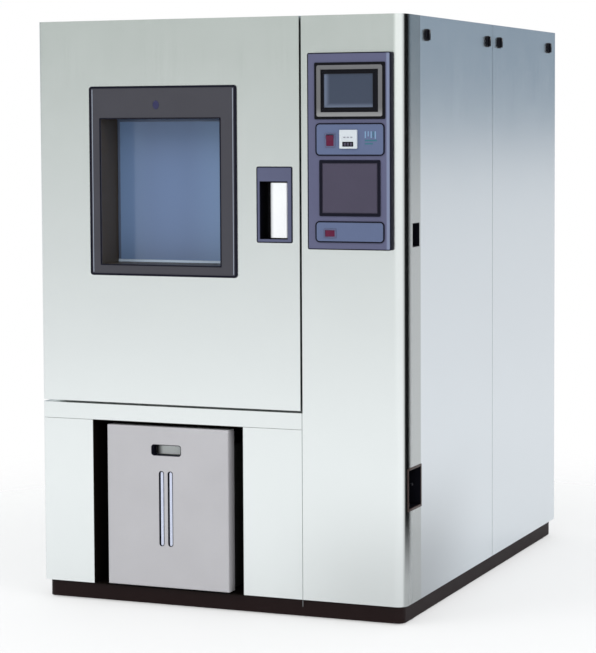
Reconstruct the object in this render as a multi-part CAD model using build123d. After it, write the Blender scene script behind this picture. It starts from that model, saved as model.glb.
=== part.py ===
from build123d import *
import os

# Free-standing environmental test chamber. Millimetres, +Z up, the front faces -Y.
# The origin is on the floor under the middle of the cabinet.

# Cabinet
cabinet_width = 1050.0
cabinet_depth = 1400.0
cabinet_height = 1571.0
sheet = 1.5
pan_depth = 15.0
seam = 2.0
column_radius = 30.0
left_radius = 12.0
front_zone = 125.0
side_split = 625.0

# Plinth, base and frame
plinth_height = 47.0
plinth_inset = 9.0
plinth_clearance = 4.0
deck_thickness = 4.0
rail_width = 30.0
rail_wall = 3.0
foot_radius = 20.0
foot_pad = 5.0
foot_stem_radius = 6.0
foot_from_end = 90.0
member_size = 30.0

# Door slab, gasket and plug
door_width = 762.0
door_gap = 6.0
door_bottom = 546.0
door_thickness = 80.0
gasket_thickness = 12.0
gasket_width = 18.0
gasket_from_mouth = 8.0
gasket_clearance = 0.3
plug_entry = 25.0
plug_clearance = 6.0
plug_radius = 8.0

# Window in the door
window_from_left = 159.0
window_from_bottom = 348.0
window_from_right = 181.0
window_from_top = 180.0
window_flange_left = 29.0
window_flange_right = 43.0
window_flange_top = 83.0
window_flange_bottom = 26.0
window_proud = 3.0
tunnel_wall = 2.0
pane_thickness = 5.0
pane_setback = 98.0
pane_gap = 7.0

# Handle, paddle, hook and keeper
handle_from_right = 21.0
handle_from_bottom = 439.0
handle_width = 98.0
handle_height = 196.0
handle_flange_left = 7.0
handle_flange_right = 12.0
handle_flange_bottom = 8.0
handle_flange_top = 37.0
handle_proud = 1.5
handle_depth = 55.0
paddle_width = 44.0
paddle_thickness = 3.0
paddle_end_gap = 4.0
paddle_hub_radius = 5.0
paddle_pin_radius = 3.0
pin_clearance = 0.05
keeper_from_edge = 16.0
keeper_reach = 32.0
keeper_neck_radius = 4.0
keeper_head_radius = 7.0
keeper_base_radius = 14.0
hook_arm = 30.0
hook_thickness = 4.0
hook_pin_radius = 4.0
hook_lift = 30.0

# Hinges on the left side
hinge_height = 90.0
hinge_from_end = 104.0
hinge_leaf = 3.0
hinge_leaf_width = 44.0
knuckle_radius = 5.0
knuckle_length = 38.0
knuckle_gap = 1.0
hinge_pin_radius = 2.5

# Chamber space behind the door
chamber_depth = 800.0
duct_depth = 150.0
liner_radius = 10.0
insulation_thickness = 62.0
insulation_side_gap = 2.5
insulation_end_gap = 9.0
baffle_slot_height = 14.0
baffle_slot_pitch = 26.0
baffle_slot_rows = 5
shelf_levels = (240.0, 540.0)
shelf_depth = 640.0
shelf_wire_radius = 2.5
shelf_frame_radius = 4.0
shelf_wires = 11
pilaster_width = 24.0
pilaster_depth = 9.0
pilaster_from_end = 130.0

# Air treatment in the duct
coil_width = 500.0
coil_depth = 80.0
coil_from_floor = 60.0
coil_slots = 14
tube_radius = 6.0
heater_radius = 4.0
heater_width = 420.0
heater_pitch = 40.0
heater_above_coil = 60.0
heater_from_fan = 50.0
fan_from_top = 150.0
fan_radius = 110.0
fan_depth = 60.0
fan_blades = 12
fan_shaft_radius = 6.0
motor_radius = 60.0
motor_length = 130.0

# Cable port through the left wall
port_radius = 25.0
port_wall = 2.0
port_flange_radius = 40.0
port_flange = 3.0
port_from_front = 420.0
port_from_floor = 425.0
plug_head = 6.0

# Water tank and its bay
bay_from_left = 154.0
bay_width = 444.0
bay_top = 496.0
bay_depth = 420.0
band_seam = 1.0
fascia_from_bay_left = 47.0
fascia_from_bay_floor = 6.0
fascia_width = 357.0
fascia_height = 433.0
fascia_thickness = 40.0
fascia_proud = 8.0
fascia_radius = 4.0
grip_width = 88.0
grip_height = 30.0
grip_depth = 28.0
grip_from_top = 47.0
grip_from_left = 132.0
groove_width = 15.0
groove_height = 203.0
groove_depth = 10.0
groove_from_bottom = 112.0
groove_from_left = (154.0, 180.0)
tank_inset = 14.0
tank_height = 386.0
tank_depth = 268.0
tank_radius = 20.0
cap_radius = 32.0
runner_width = 20.0
slide_clearance = 0.3

# Control panel on the column
panel_from_column_left = 28.0
panel_from_top = 98.0
panel_width = 225.0
panel_height = 502.0
panel_proud = 24.0
panel_wall = 3.0
panel_radius = 4.0
display_offset = (19.0, 333.0)
display_size = (193.0, 145.0)
display_proud = 3.0
screen_offset = (21.0, 25.0)
screen_size = (144.0, 96.0)
sub_offset = (23.0, 241.0)
sub_size = (186.0, 81.0)
sub_radius = 10.0
sub_thickness = 2.0
low_sub_offset = (22.0, 19.0)
low_sub_size = (186.0, 52.0)
protector_offset = (66.0, 17.0)
protector_size = (48.0, 48.0)
protector_proud = 5.0
rocker_offset = (27.0, 22.0)
rocker_size = (24.0, 33.0)
low_rocker_offset = (24.0, 12.0)
low_rocker_size = (30.0, 20.0)
rocker_wall = 1.5
rocker_play = 1.2
rocker_depth = 12.0
rocker_proud = 3.0
rocker_pin_radius = 1.5
rocker_tilt = 8.0
blank_offset = (32.0, 85.0)
blank_size = (167.0, 144.0)
blank_rim = 8.0
blank_proud = 2.0

# Right side: latches, side port and breaker recess
latch_radius = 16.0
latch_proud = 10.0
latch_shaft_radius = 6.0
latch_from_top = 49.0
latch_from_edge = 50.0
latch_last_from_back = 78.0
latch_cam_length = 26.0
side_port_from_front = 64.0
side_port_size = (51.0, 59.0)
side_port_bottom = 976.0
side_port_depth = 18.0
breaker_from_front = 30.0
breaker_size = (92.0, 101.0)
breaker_body_shift = 4.0
breaker_bottom = 299.0
breaker_recess_depth = 65.0
breaker_body_size = (36.0, 54.0, 76.0)
toggle_radius = 9.0
toggle_width = 14.0
toggle_length = 14.0
toggle_tilt = 22.0

# Machine room and rear face
compressor_radius = 85.0
compressor_height = 260.0
compressor_stand = 20.0
compressor_from_right = 180.0
compressor_from_bay = 540.0
condenser_width = 420.0
condenser_height = 340.0
condenser_depth = 70.0
condenser_slots = 14
condenser_from_bay = 90.0
condenser_fan_gap = 75.0
condenser_fan_radius = 120.0
condenser_blades = 5
condenser_blade_width = 56.0
condenser_hub_radius = 30.0
condenser_hub_length = 30.0
condenser_motor_radius = 42.0
condenser_motor_length = 70.0
louvre_width = 300.0
louvre_height = 12.0
louvre_proud = 24.0
louvre_pitch = 40.0
louvre_rows = 8
gland_radius = 14.0
gland_bore = 8.0
gland_length = 24.0
drain_radius = 9.5
drain_bore = 7.0
drain_length = 24.0
electrical_size = (170.0, 400.0, 520.0)

# Places that follow from the sizes above
x_left = -cabinet_width / 2
x_right = cabinet_width / 2
y_front = -cabinet_depth / 2
y_back = cabinet_depth / 2
cover_back = y_front + front_zone
door_right = x_left + door_width
column_left = door_right + door_gap
slab_back = y_front + door_thickness
frame_front = slab_back + gasket_thickness
band_top = door_bottom - door_gap
panel_floor = plinth_height + seam
chamber_side = pan_depth + insulation_side_gap + insulation_thickness + sheet
chamber_end = pan_depth + insulation_end_gap + insulation_thickness + sheet
chamber_x = (x_left + chamber_side, door_right - chamber_side)
chamber_z = (door_bottom + chamber_end, cabinet_height - chamber_end)
chamber_width = chamber_x[1] - chamber_x[0]
baffle_y = frame_front + chamber_depth
duct_back = baffle_y + sheet + duct_depth
foam_back = duct_back + sheet + insulation_thickness
foam_x = (
    chamber_x[0] - sheet - insulation_thickness,
    chamber_x[1] + sheet + insulation_thickness,
)
foam_z = (
    chamber_z[0] - sheet - insulation_thickness,
    chamber_z[1] + sheet + insulation_thickness,
)
window_flange_x = (x_left + window_from_left, door_right - window_from_right)
window_flange_z = (door_bottom + window_from_bottom, cabinet_height - window_from_top)
window_x = (window_flange_x[0] + window_flange_left, window_flange_x[1] - window_flange_right)
window_z = (window_flange_z[0] + window_flange_bottom, window_flange_z[1] - window_flange_top)
handle_x = (door_right - handle_from_right - handle_width, door_right - handle_from_right)
handle_z = (door_bottom + handle_from_bottom, door_bottom + handle_from_bottom + handle_height)
cup_x = (handle_x[0] + handle_flange_left, handle_x[1] - handle_flange_right)
cup_z = (handle_z[0] + handle_flange_bottom, handle_z[1] - handle_flange_top)
cup_back = y_front + handle_depth
plug_back = frame_front + plug_entry
keeper_x = door_right - keeper_from_edge
keeper_z = (handle_z[0] + handle_z[1]) / 2
hinge_x = x_left - knuckle_radius
hinge_y = (slab_back + frame_front) / 2
bay_x = (x_left + bay_from_left, x_left + bay_from_left + bay_width)
fascia_x = (bay_x[0] + fascia_from_bay_left, bay_x[0] + fascia_from_bay_left + fascia_width)
fascia_z = (plinth_height + fascia_from_bay_floor, plinth_height + fascia_from_bay_floor + fascia_height)
fascia_back = y_front - fascia_proud + fascia_thickness
panel_left = column_left + panel_from_column_left
panel_bottom = cabinet_height - panel_from_top - panel_height
panel_face = y_front - panel_proud
split_y = cover_back + side_split
fan_x = (chamber_x[0] + chamber_x[1]) / 2
fan_z = chamber_z[1] - fan_from_top
heater_base = fan_z - fan_radius - heater_from_fan - 3 * heater_pitch
coil_height = heater_base - heater_above_coil - chamber_z[0] - coil_from_floor
condenser_y = y_front + bay_depth + condenser_from_bay
condenser_x = fan_x
condenser_z = plinth_height + condenser_height / 2


def grow(pair, by):
    return (pair[0] - by, pair[1] + by)


def block(x, y, z):
    size = [high - low for low, high in (x, y, z)]
    middle = [(low + high) / 2 for low, high in (x, y, z)]
    return Pos(*middle) * Box(*size)


def along_y(x, y, z, radius, length):
    # A cylinder that starts at y and runs towards the back
    return Pos(x, y + length / 2, z) * Rot(90, 0, 0) * Cylinder(radius, length)


def along_x(x, y, z, radius, length):
    return Pos(x + length / 2, y, z) * Rot(0, 90, 0) * Cylinder(radius, length)


def pan(x, y, z, open_to, wall=sheet):
    # A folded sheet pan: a skin with four flanges, open on one side
    cavity = [grow(pair, -wall) for pair in (x, y, z)]
    axis = "XYZ".index(open_to[1])
    low, high = cavity[axis]
    cavity[axis] = (low, high + 2 * wall) if open_to[0] == "+" else (low - 2 * wall, high)
    return block(x, y, z) - block(*cavity)


def round_posts(solid, radius, side):
    # Rounds the upright front edge on the left (0) or on the right (-1)
    fronts = solid.edges().filter_by(Axis.Z).group_by(Axis.Y)[0]
    return fillet(fronts.sort_by(Axis.X)[side], radius)


def rounded_plate(x, y, z, radius):
    # A plate that faces -Y, with rounded corners
    plate = block(x, y, z)
    return fillet(plate.edges().filter_by(Axis.Y), radius)


def at(origin, offset, size):
    # The X and Z spans of a rectangle placed from a lower left corner
    low_x = origin[0] + offset[0]
    low_z = origin[1] + offset[1]
    return (low_x, low_x + size[0]), (low_z, low_z + size[1])


def tube_bar(x, y, z, axis):
    # A square tube along one axis
    hollow = [grow(pair, -rail_wall) for pair in (x, y, z)]
    hollow[axis] = grow((x, y, z)[axis], 1.0)
    return block(x, y, z) - block(*hollow)


def base_frame():
    outer_x = cabinet_width / 2 - plinth_inset - sheet
    outer_y = cabinet_depth / 2 - plinth_inset - sheet
    rail_top = plinth_height - deck_thickness
    rail_z = (rail_top - rail_width, rail_top)
    corner = column_radius - plinth_inset
    deck = block((-outer_x, outer_x), (-outer_y, outer_y), (rail_top, plinth_height))
    solids = [fillet(deck.edges().filter_by(Axis.Z), corner)]
    for side in (-1, 1):
        edge = sorted((side * outer_x, side * (outer_x - rail_width)))
        run = outer_y - corner
        solids.append(tube_bar(edge, (-run, run), rail_z, 1))
        end = sorted((side * outer_y, side * (outer_y - rail_width)))
        run = outer_x - rail_width - corner
        solids.append(tube_bar((-run, run), end, rail_z, 0))
    return solids


def plinth_skirt():
    outer_x = cabinet_width / 2 - plinth_inset
    outer_y = cabinet_depth / 2 - plinth_inset
    span_z = (plinth_clearance, plinth_height)
    corner = column_radius - plinth_inset + sheet
    outside = block((-outer_x, outer_x), (-outer_y, outer_y), span_z)
    outside = fillet(outside.edges().filter_by(Axis.Z), corner)
    inside = block(
        (-outer_x + sheet, outer_x - sheet), (-outer_y + sheet, outer_y - sheet), grow(span_z, 1.0)
    )
    inside = fillet(inside.edges().filter_by(Axis.Z), corner - sheet)
    ring = outside - inside
    cut = outer_y - corner
    wide = (-outer_x - 1.0, outer_x + 1.0)
    halves = ((wide[0], 0), (0, wide[1]))
    sides = [ring & block(half, (-cut, cut), grow(span_z, 1.0)) for half in halves]
    front = ring & block(wide, (-outer_y - 1.0, -cut), grow(span_z, 1.0))
    rear = ring & block(wide, (cut, outer_y + 1.0), grow(span_z, 1.0))
    return sides + [front, rear]


def levelling_feet():
    rail_bottom = plinth_height - deck_thickness - rail_width
    profile = Polyline(
        (0, 0),
        (foot_radius, 0),
        (foot_radius, foot_pad * 0.6),
        (foot_stem_radius + 3.0, foot_pad),
        (foot_stem_radius, foot_pad),
        (foot_stem_radius, rail_bottom),
        (0, rail_bottom),
        close=True,
    )
    foot = revolve(Plane.XZ * make_face(profile), Axis.Z)
    nut = Pos(0, 0, (foot_pad + rail_bottom) / 2) * extrude(
        RegularPolygon(foot_stem_radius + 5.0, 6), (rail_bottom - foot_pad) / 4, both=True
    )
    foot = foot + nut
    x = cabinet_width / 2 - plinth_inset - sheet - rail_width / 2 - 6.0
    y = cabinet_depth / 2 - foot_from_end
    return [Pos(a * x, b * y, 0) * foot for a in (-1, 1) for b in (-1, 1)]


def frame_members():
    inside_left = x_left + pan_depth
    inside_right = x_right - pan_depth
    rear = (y_back - pan_depth - member_size, y_back - pan_depth)
    front = (cover_back, cover_back + member_size)
    left = (inside_left, inside_left + member_size)
    centre = (foam_x[1] - member_size, foam_x[1])
    right = (inside_right - member_size, inside_right)
    beam_z = (foam_z[0] - member_size, foam_z[0])
    low = (plinth_height, beam_z[0])
    full = (plinth_height, cabinet_height - pan_depth)
    solids = [tube_bar(x, front, low, 2) for x in (left, centre)]
    solids += [tube_bar(x, rear, full, 2) for x in (left, centre, right)]
    solids.append(tube_bar(right, front, full, 2))
    solids += [tube_bar(x, (front[0], rear[0]), beam_z, 1) for x in (left, centre)]
    cross = (left[1], centre[0])
    solids += [tube_bar(cross, y, beam_z, 0) for y in (front, (foam_back - member_size, foam_back))]
    return solids


def left_side_panels():
    z = (panel_floor, cabinet_height)
    x = (x_left, x_left + pan_depth)
    front = pan(x, (cover_back, split_y - seam / 2), z, "+X")
    rear = pan(x, (split_y + seam / 2, y_back), z, "+X")
    port_z = chamber_z[0] + port_from_floor
    hole = along_x(x_left - 1.0, frame_front + port_from_front, port_z, port_radius + port_wall, pan_depth)
    return [front - hole, rear]


def latch_places():
    first = cover_back + latch_from_edge
    return (first, split_y - latch_from_edge, split_y + latch_from_edge + 12.0, y_back - latch_last_from_back)


def right_side_panels():
    z = (panel_floor, cabinet_height)
    x = (x_right - pan_depth, x_right)
    front = pan(x, (cover_back, split_y - seam / 2), z, "-X")
    rear = pan(x, (split_y + seam / 2, y_back), z, "-X")
    for y in latch_places():
        hole = along_x(
            x_right - 2 * sheet, y, cabinet_height - latch_from_top, latch_shaft_radius + pin_clearance, 4 * sheet
        )
        front = front - hole
        rear = rear - hole
    return [front, rear]


def top_panel():
    x = (x_left + pan_depth + seam / 2, x_right - pan_depth - seam / 2)
    return pan(x, (cover_back, y_back), (cabinet_height - pan_depth, cabinet_height), "-Z")


def louvre(x, z):
    # A pressed hood, open downwards
    reach = louvre_proud
    side = Polyline((0, 0), (0, louvre_height * 2), (reach, 0), close=True)
    hood = extrude(Plane.YZ * make_face(side), louvre_width / 2, both=True)
    inner = Polyline(
        (-sheet, -1), (-sheet, louvre_height * 2 - 2 * sheet), (reach - 2 * sheet, -1), close=True
    )
    hollow = extrude(Plane.YZ * make_face(inner), louvre_width / 2 - sheet, both=True)
    return Pos(x, y_back, z) * (hood - hollow)


def rear_panel():
    x = (x_left + pan_depth + seam / 2, x_right - pan_depth - seam / 2)
    top = cabinet_height - pan_depth - seam
    skin = pan(x, (y_back - pan_depth, y_back), (panel_floor, top), "-Y")
    first = panel_floor + 60.0
    for column in (-1, 1):
        centre = column * (louvre_width / 2 + 25.0)
        for row in range(louvre_rows):
            z = first + row * louvre_pitch
            half = louvre_width / 2 - sheet
            slot = block((centre - half, centre + half), (y_back - 3.0, y_back + 1.0), (z + 2.0, z + louvre_height))
            skin = skin - slot + louvre(centre, z)
    holes = along_y(x_right - 120.0, y_back - 5.0, panel_floor + 60.0, gland_radius - 3.0, 10.0)
    holes += along_y(x_left + 120.0, y_back - 5.0, panel_floor + 40.0, drain_radius, 10.0)
    return skin - holes


def column_body(grow_by):
    # The column's outer form, or its inside when grow_by is negative
    x = grow((column_left, x_right), grow_by)
    body = block(x, (y_front - grow_by, cover_back + 1.0), (panel_floor - 1.0, cabinet_height + grow_by))
    body = round_posts(body, column_radius + grow_by, -1)
    return body & block(x, (y_front - 1.0, cover_back), (panel_floor, cabinet_height))


def breaker_spans(grow_by):
    y = (y_front + breaker_from_front, y_front + breaker_from_front + breaker_size[0])
    z = (breaker_bottom, breaker_bottom + breaker_size[1])
    return grow(y, grow_by), grow(z, grow_by)


def side_port_spans(grow_by):
    y = (y_front + side_port_from_front, y_front + side_port_from_front + side_port_size[0])
    z = (side_port_bottom, side_port_bottom + side_port_size[1])
    return grow(y, grow_by), grow(z, grow_by)


def column_cover():
    cover = column_body(0.0) - column_body(-sheet)
    y, z = breaker_spans(sheet)
    cover = cover - block((x_right - breaker_recess_depth - sheet, x_right + 1.0), y, z)
    y, z = side_port_spans(sheet)
    return cover - block((x_right - side_port_depth - sheet, x_right + 1.0), y, z)


def breaker_recess():
    y, z = breaker_spans(sheet)
    inside_y, inside_z = breaker_spans(0.0)
    cup = block((x_right - breaker_recess_depth - sheet, x_right), y, z)
    cup = cup - block((x_right - breaker_recess_depth, x_right + 1.0), inside_y, inside_z)
    return cup & column_body(0.0)


def breaker_body():
    y, z = breaker_spans(0.0)
    depth, width, height = breaker_body_size
    middle_y = (y[0] + y[1]) / 2 + breaker_body_shift
    middle_z = (z[0] + z[1]) / 2
    x = x_right - breaker_recess_depth
    body = block(
        (x, x + depth),
        (middle_y - width / 2, middle_y + width / 2),
        (middle_z - height / 2, middle_z + height / 2),
    )
    body = fillet(body.edges().group_by(Axis.X)[-1], 2.0)
    clear = toggle_radius + 0.5
    slot = Pos(x + depth, middle_y, middle_z) * Rot(90, 0, 0) * Cylinder(clear, toggle_width + 1.0)
    pin = Pos(x + depth, middle_y, middle_z) * Rot(90, 0, 0) * Cylinder(2.0, toggle_width + 2.0)
    return body - slot + pin


def breaker_toggle():
    y, z = breaker_spans(0.0)
    middle_y = (y[0] + y[1]) / 2 + breaker_body_shift
    middle_z = (z[0] + z[1]) / 2
    x = x_right - breaker_recess_depth + breaker_body_size[0]
    drum = Rot(90, 0, 0) * Cylinder(toggle_radius, toggle_width)
    half = toggle_width / 2 - 1.0
    lever = block((toggle_radius - 3.0, toggle_radius + toggle_length), (-half, half), (-3.0, 3.0))
    lever = fillet(lever.edges().group_by(Axis.X)[-1], 2.0)
    bore = Rot(90, 0, 0) * Cylinder(2.0 + pin_clearance, toggle_width + 2.0)
    return Pos(x, middle_y, middle_z) * Rot(0, -toggle_tilt, 0) * (drum + lever - bore)


def side_port_recess():
    y, z = side_port_spans(sheet)
    inside_y, inside_z = side_port_spans(0.0)
    cup = block((x_right - side_port_depth - sheet, x_right), y, z)
    return cup - block((x_right - side_port_depth, x_right + 1.0), inside_y, inside_z)


def lower_front_panels():
    band = block((x_left, column_left), (y_front, cover_back), (bay_top + band_seam, band_top))
    band = round_posts(band, left_radius, 0)
    hollow = block(
        (x_left + sheet, column_left - sheet),
        (y_front + sheet, cover_back + 1.0),
        (bay_top + band_seam + sheet, band_top - sheet),
    )
    band = band - round_posts(hollow, left_radius - sheet, 0)
    left = block((x_left, bay_x[0]), (y_front, cover_back), (panel_floor, bay_top))
    left = round_posts(left, left_radius, 0)
    hollow = block(
        (x_left + sheet, bay_x[0] - sheet), (y_front + sheet, cover_back + 1.0), (panel_floor - 1.0, bay_top - sheet)
    )
    left = left - round_posts(hollow, left_radius - sheet, 0)
    right = pan((bay_x[1], column_left), (y_front, cover_back), (panel_floor, bay_top), "+Y")
    return [band, left, right]


def bay_liner():
    liner = pan(bay_x, (y_front, y_front + bay_depth), (plinth_height, bay_top), "-Y")
    for side in (0, 1):
        edge = fascia_x[0] + tank_inset if side == 0 else fascia_x[1] - tank_inset - runner_width
        liner = liner + block(
            (edge, edge + runner_width),
            (y_front + 2 * fascia_thickness, y_front + bay_depth - sheet),
            (plinth_height + sheet, fascia_z[0]),
        )
    return liner


def front_frame():
    y = (frame_front, cover_back)
    return [
        block((x_left, chamber_x[0]), y, (band_top, cabinet_height)),
        block((chamber_x[1], column_left), y, (band_top, cabinet_height)),
        block(chamber_x, y, (chamber_z[1], cabinet_height)),
        block(chamber_x, y, (band_top, chamber_z[0])),
    ]


def port_axis():
    return frame_front + port_from_front, chamber_z[0] + port_from_floor


def inner_box():
    outside = block(grow(chamber_x, sheet), (cover_back, duct_back + sheet), grow(chamber_z, sheet))
    outside = fillet(outside.edges().filter_by(Axis.Y), liner_radius + sheet)
    inside = block(chamber_x, (cover_back - 1.0, duct_back), chamber_z)
    inside = fillet(inside.edges().filter_by(Axis.Y), liner_radius)
    y, z = port_axis()
    port = along_x(chamber_x[0] - 2 * sheet, y, z, port_radius + port_wall, 4 * sheet)
    shaft = along_y(fan_x, duct_back - sheet, fan_z, fan_shaft_radius + 2.0, 4 * sheet)
    return outside - inside - port - shaft


def insulation():
    outside = block(foam_x, (cover_back, foam_back), foam_z)
    inside = block(grow(chamber_x, sheet), (cover_back - 1.0, duct_back + sheet), grow(chamber_z, sheet))
    inside = fillet(inside.edges().filter_by(Axis.Y), liner_radius + sheet)
    y, z = port_axis()
    port = along_x(foam_x[0] - 1.0, y, z, port_radius + port_wall, insulation_thickness + 4.0)
    shaft = along_y(fan_x, duct_back, fan_z, fan_shaft_radius + 2.0, insulation_thickness + 4.0)
    return outside - inside - port - shaft


def rear_baffle():
    plate = block(chamber_x, (baffle_y, baffle_y + sheet), grow(chamber_z, -liner_radius))
    slot_width = chamber_width / 3
    slots = []
    for row in range(baffle_slot_rows):
        for column in (-1, 1):
            x = fan_x + column * chamber_width / 4
            for first, step in ((chamber_z[1] - 70.0, -1), (chamber_z[0] + 70.0, 1)):
                z = first + step * row * baffle_slot_pitch
                slot = SlotOverall(slot_width, baffle_slot_height)
                slots.append(Pos(x, baffle_y, z) * Rot(90, 0, 0) * extrude(slot, 3 * sheet, both=True))
    return plate - slots


def u_bend(x, y, z, pitch, radius, side):
    # A return bend in an upright plane along X, at one end of a coil
    bend = Torus(pitch / 2, radius)
    half = Rot(90, 0, 0) * bend
    keep = block((0, pitch) if side > 0 else (-pitch, 0), (-pitch, pitch), (-pitch, pitch))
    return Pos(x, y, z) * (half & keep)


def finned_coil(x, y, z, slots, slot_depth):
    # A fin pack with cut slots between its fins and return bends at both ends
    pack = block(x, y, z)
    step = (x[1] - x[0]) / (slots + 1)
    for index in range(slots):
        middle = x[0] + (index + 1) * step
        gap = block((middle - step * 0.3, middle + step * 0.3), (y[0] - 1.0, y[0] + slot_depth), grow(z, 1.0))
        pack = pack - gap
    pitch = (z[1] - z[0]) / 4
    middle_y = (y[0] + y[1]) / 2
    for index in range(3):
        level = z[0] + (index + 1) * pitch
        side = 1 if index % 2 else -1
        end = x[1] if side > 0 else x[0]
        pack = pack + u_bend(end, middle_y, level, pitch * 0.8, tube_radius, side)
    return pack


def evaporator_coil():
    x = (fan_x - coil_width / 2, fan_x + coil_width / 2)
    low = chamber_z[0] + coil_from_floor
    y = (duct_back - coil_depth, duct_back)
    return finned_coil(x, y, (low, low + coil_height), coil_slots, coil_depth * 0.7)


def heater_coil():
    # Three hairpins of sheathed rod, held by two straps on the duct's rear wall
    base = heater_base
    y = duct_back - coil_depth / 2
    half = heater_width / 2
    points = []
    for turn in range(4):
        ends = (-half, half) if turn % 2 == 0 else (half, -half)
        points += [(fan_x + end, y, base + turn * heater_pitch) for end in ends]
    path = FilletPolyline(*points, radius=heater_pitch / 2 - 1.0)
    start = Plane(origin=path @ 0, z_dir=path % 0)
    rod = sweep(start * Circle(heater_radius), path)
    top = base + 3 * heater_pitch
    straps = [
        block((fan_x + s * half / 2 - 8.0, fan_x + s * half / 2 + 8.0), (y, duct_back), grow((base, top), 8.0))
        for s in (-1, 1)
    ]
    return rod + straps[0] + straps[1]


def circulation_fan():
    # A backplate with radial blades and a front ring, on a shaft that runs back to the motor
    y = duct_back - fan_depth - 20.0
    wheel = along_y(fan_x, y + fan_depth - 2.0, fan_z, fan_radius, 2.0)
    ring = along_y(fan_x, y, fan_z, fan_radius, 2.0) - along_y(fan_x, y, fan_z, fan_radius * 0.72, 2.0)
    hub = along_y(fan_x, y + fan_depth - 34.0, fan_z, 18.0, 34.0)
    wheel = wheel + ring + hub
    for index in range(fan_blades):
        blade = block((fan_radius * 0.7, fan_radius - 1.0), (0, fan_depth), (-1.0, 1.0))
        turned = Rot(0, 360 / fan_blades * index, 0) * blade
        wheel = wheel + Pos(fan_x, y, fan_z) * turned
    shaft_end = foam_back + 30.0
    shaft = along_y(fan_x, y + fan_depth - 34.0, fan_z, fan_shaft_radius, shaft_end - y - fan_depth + 34.0)
    return wheel + shaft


def fan_motors():
    # The circulation motor on the rear of the foam, and the condenser fan motor on its post
    body = along_y(fan_x, foam_back, fan_z, motor_radius, motor_length)
    body = fillet(body.edges().group_by(Axis.Y)[-1], 8.0)
    flange = along_y(fan_x, foam_back, fan_z, motor_radius + 20.0, 6.0)
    bore = along_y(fan_x, foam_back - 1.0, fan_z, fan_shaft_radius + pin_clearance, 33.0)
    big = body + flange - bore
    start = condenser_y + condenser_depth + condenser_fan_gap
    small = along_y(condenser_x, start, condenser_z, condenser_motor_radius, condenser_motor_length)
    small = fillet(small.edges().group_by(Axis.Y)[-1], 6.0)
    post = block(
        (condenser_x - 20.0, condenser_x + 20.0), (start + 20.0, start + 40.0), (plinth_height, condenser_z)
    )
    bore = along_y(condenser_x, start - 1.0, condenser_z, fan_shaft_radius + pin_clearance, 31.0)
    return [big, small + post - bore]


def condenser():
    x = (condenser_x - condenser_width / 2, condenser_x + condenser_width / 2)
    y = (condenser_y, condenser_y + condenser_depth)
    return finned_coil(x, y, (plinth_height, plinth_height + condenser_height), condenser_slots, condenser_depth * 0.7)


def condenser_fan():
    start = condenser_y + condenser_depth + condenser_fan_gap
    hub_start = start - condenser_hub_length - 4.0
    hub = along_y(condenser_x, hub_start, condenser_z, condenser_hub_radius, condenser_hub_length)
    hub = hub + along_y(condenser_x, start - 20.0, condenser_z, fan_shaft_radius, 20.0 + 29.0)
    blade_plan = RectangleRounded(condenser_fan_radius * 0.78, condenser_blade_width, condenser_blade_width / 4)
    blade = extrude(Pos(condenser_fan_radius * 0.6, 0) * blade_plan, sheet, both=True)
    fan = hub
    for index in range(condenser_blades):
        tilted = Rot(0, 360 / condenser_blades * index, 0) * Rot(60, 0, 0) * blade
        fan = fan + Pos(condenser_x, hub_start + condenser_hub_length / 2, condenser_z) * tilted
    return fan


def compressor():
    # A hermetic shell of two drawn halves on a welded foot plate
    r = compressor_radius
    h = compressor_height
    foot = compressor_stand
    shell = Pos(0, 0, (foot + h) / 2) * Cylinder(r, h - foot)
    shell = fillet(shell.edges().group_by(Axis.Z)[-1], r * 0.5)
    shell = fillet(shell.edges().group_by(Axis.Z)[0], r * 0.3)
    joint = Pos(0, 0, h * 0.55) * Cylinder(r + 5.0, 6.0)
    plate = block((-r - 15.0, r + 15.0), (-r - 15.0, r + 15.0), (foot - 6.0, foot))
    plate = fillet(plate.edges().filter_by(Axis.Z), 20.0)
    body = shell + joint + plate
    for a in (-1, 1):
        for b in (-1, 1):
            body = body + Pos(a * r * 0.8, b * r * 0.8, (foot - 6.0) / 2) * Cylinder(12.0, foot - 6.0)
    port = Pos(r * 0.25, 0, h + 10.0) * Cylinder(6.0, 30.0)
    place = Pos(x_right - compressor_from_right, y_front + bay_depth + compressor_from_bay, plinth_height)
    return place * (body + port)


def shelf_rails():
    # Punched pilasters on the side walls, two a side
    solids = []
    for side in (0, 1):
        wall = chamber_x[side]
        reach = pilaster_depth if side == 0 else -pilaster_depth
        for y in (frame_front + pilaster_from_end, baffle_y - pilaster_from_end):
            bar = block(
                sorted((wall, wall + reach)),
                (y - pilaster_width / 2, y + pilaster_width / 2),
                (chamber_z[0] + 40.0, chamber_z[1] - 40.0),
            )
            for level in shelf_levels:
                z = chamber_z[0] + level
                notch = block(
                    sorted((wall + reach * 0.4, wall + reach * 1.2)), (y - 6.0, y + 6.0), (z - 30.0, z - 10.0)
                )
                bar = bar - notch
            solids.append(bar)
    return solids


def wire_shelves():
    # A bent rod frame with straight wires across, one on each level
    middle_y = (frame_front + baffle_y) / 2
    half_x = chamber_width / 2 - pilaster_depth - shelf_frame_radius - slide_clearance
    half_y = shelf_depth / 2
    corner = 20.0
    path = Wire(RectangleRounded(2 * half_x, 2 * half_y, corner).face().outer_wire())
    start = Plane(origin=path @ 0, z_dir=path % 0)
    frame = sweep(start * Circle(shelf_frame_radius), path)
    step = 2 * half_x / (shelf_wires + 1)
    for index in range(shelf_wires):
        x = -half_x + (index + 1) * step
        frame = frame + along_y(x, -half_y, 0, shelf_wire_radius, 2 * half_y)
    return [Pos(fan_x, middle_y, chamber_z[0] + level) * frame for level in shelf_levels]


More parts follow.
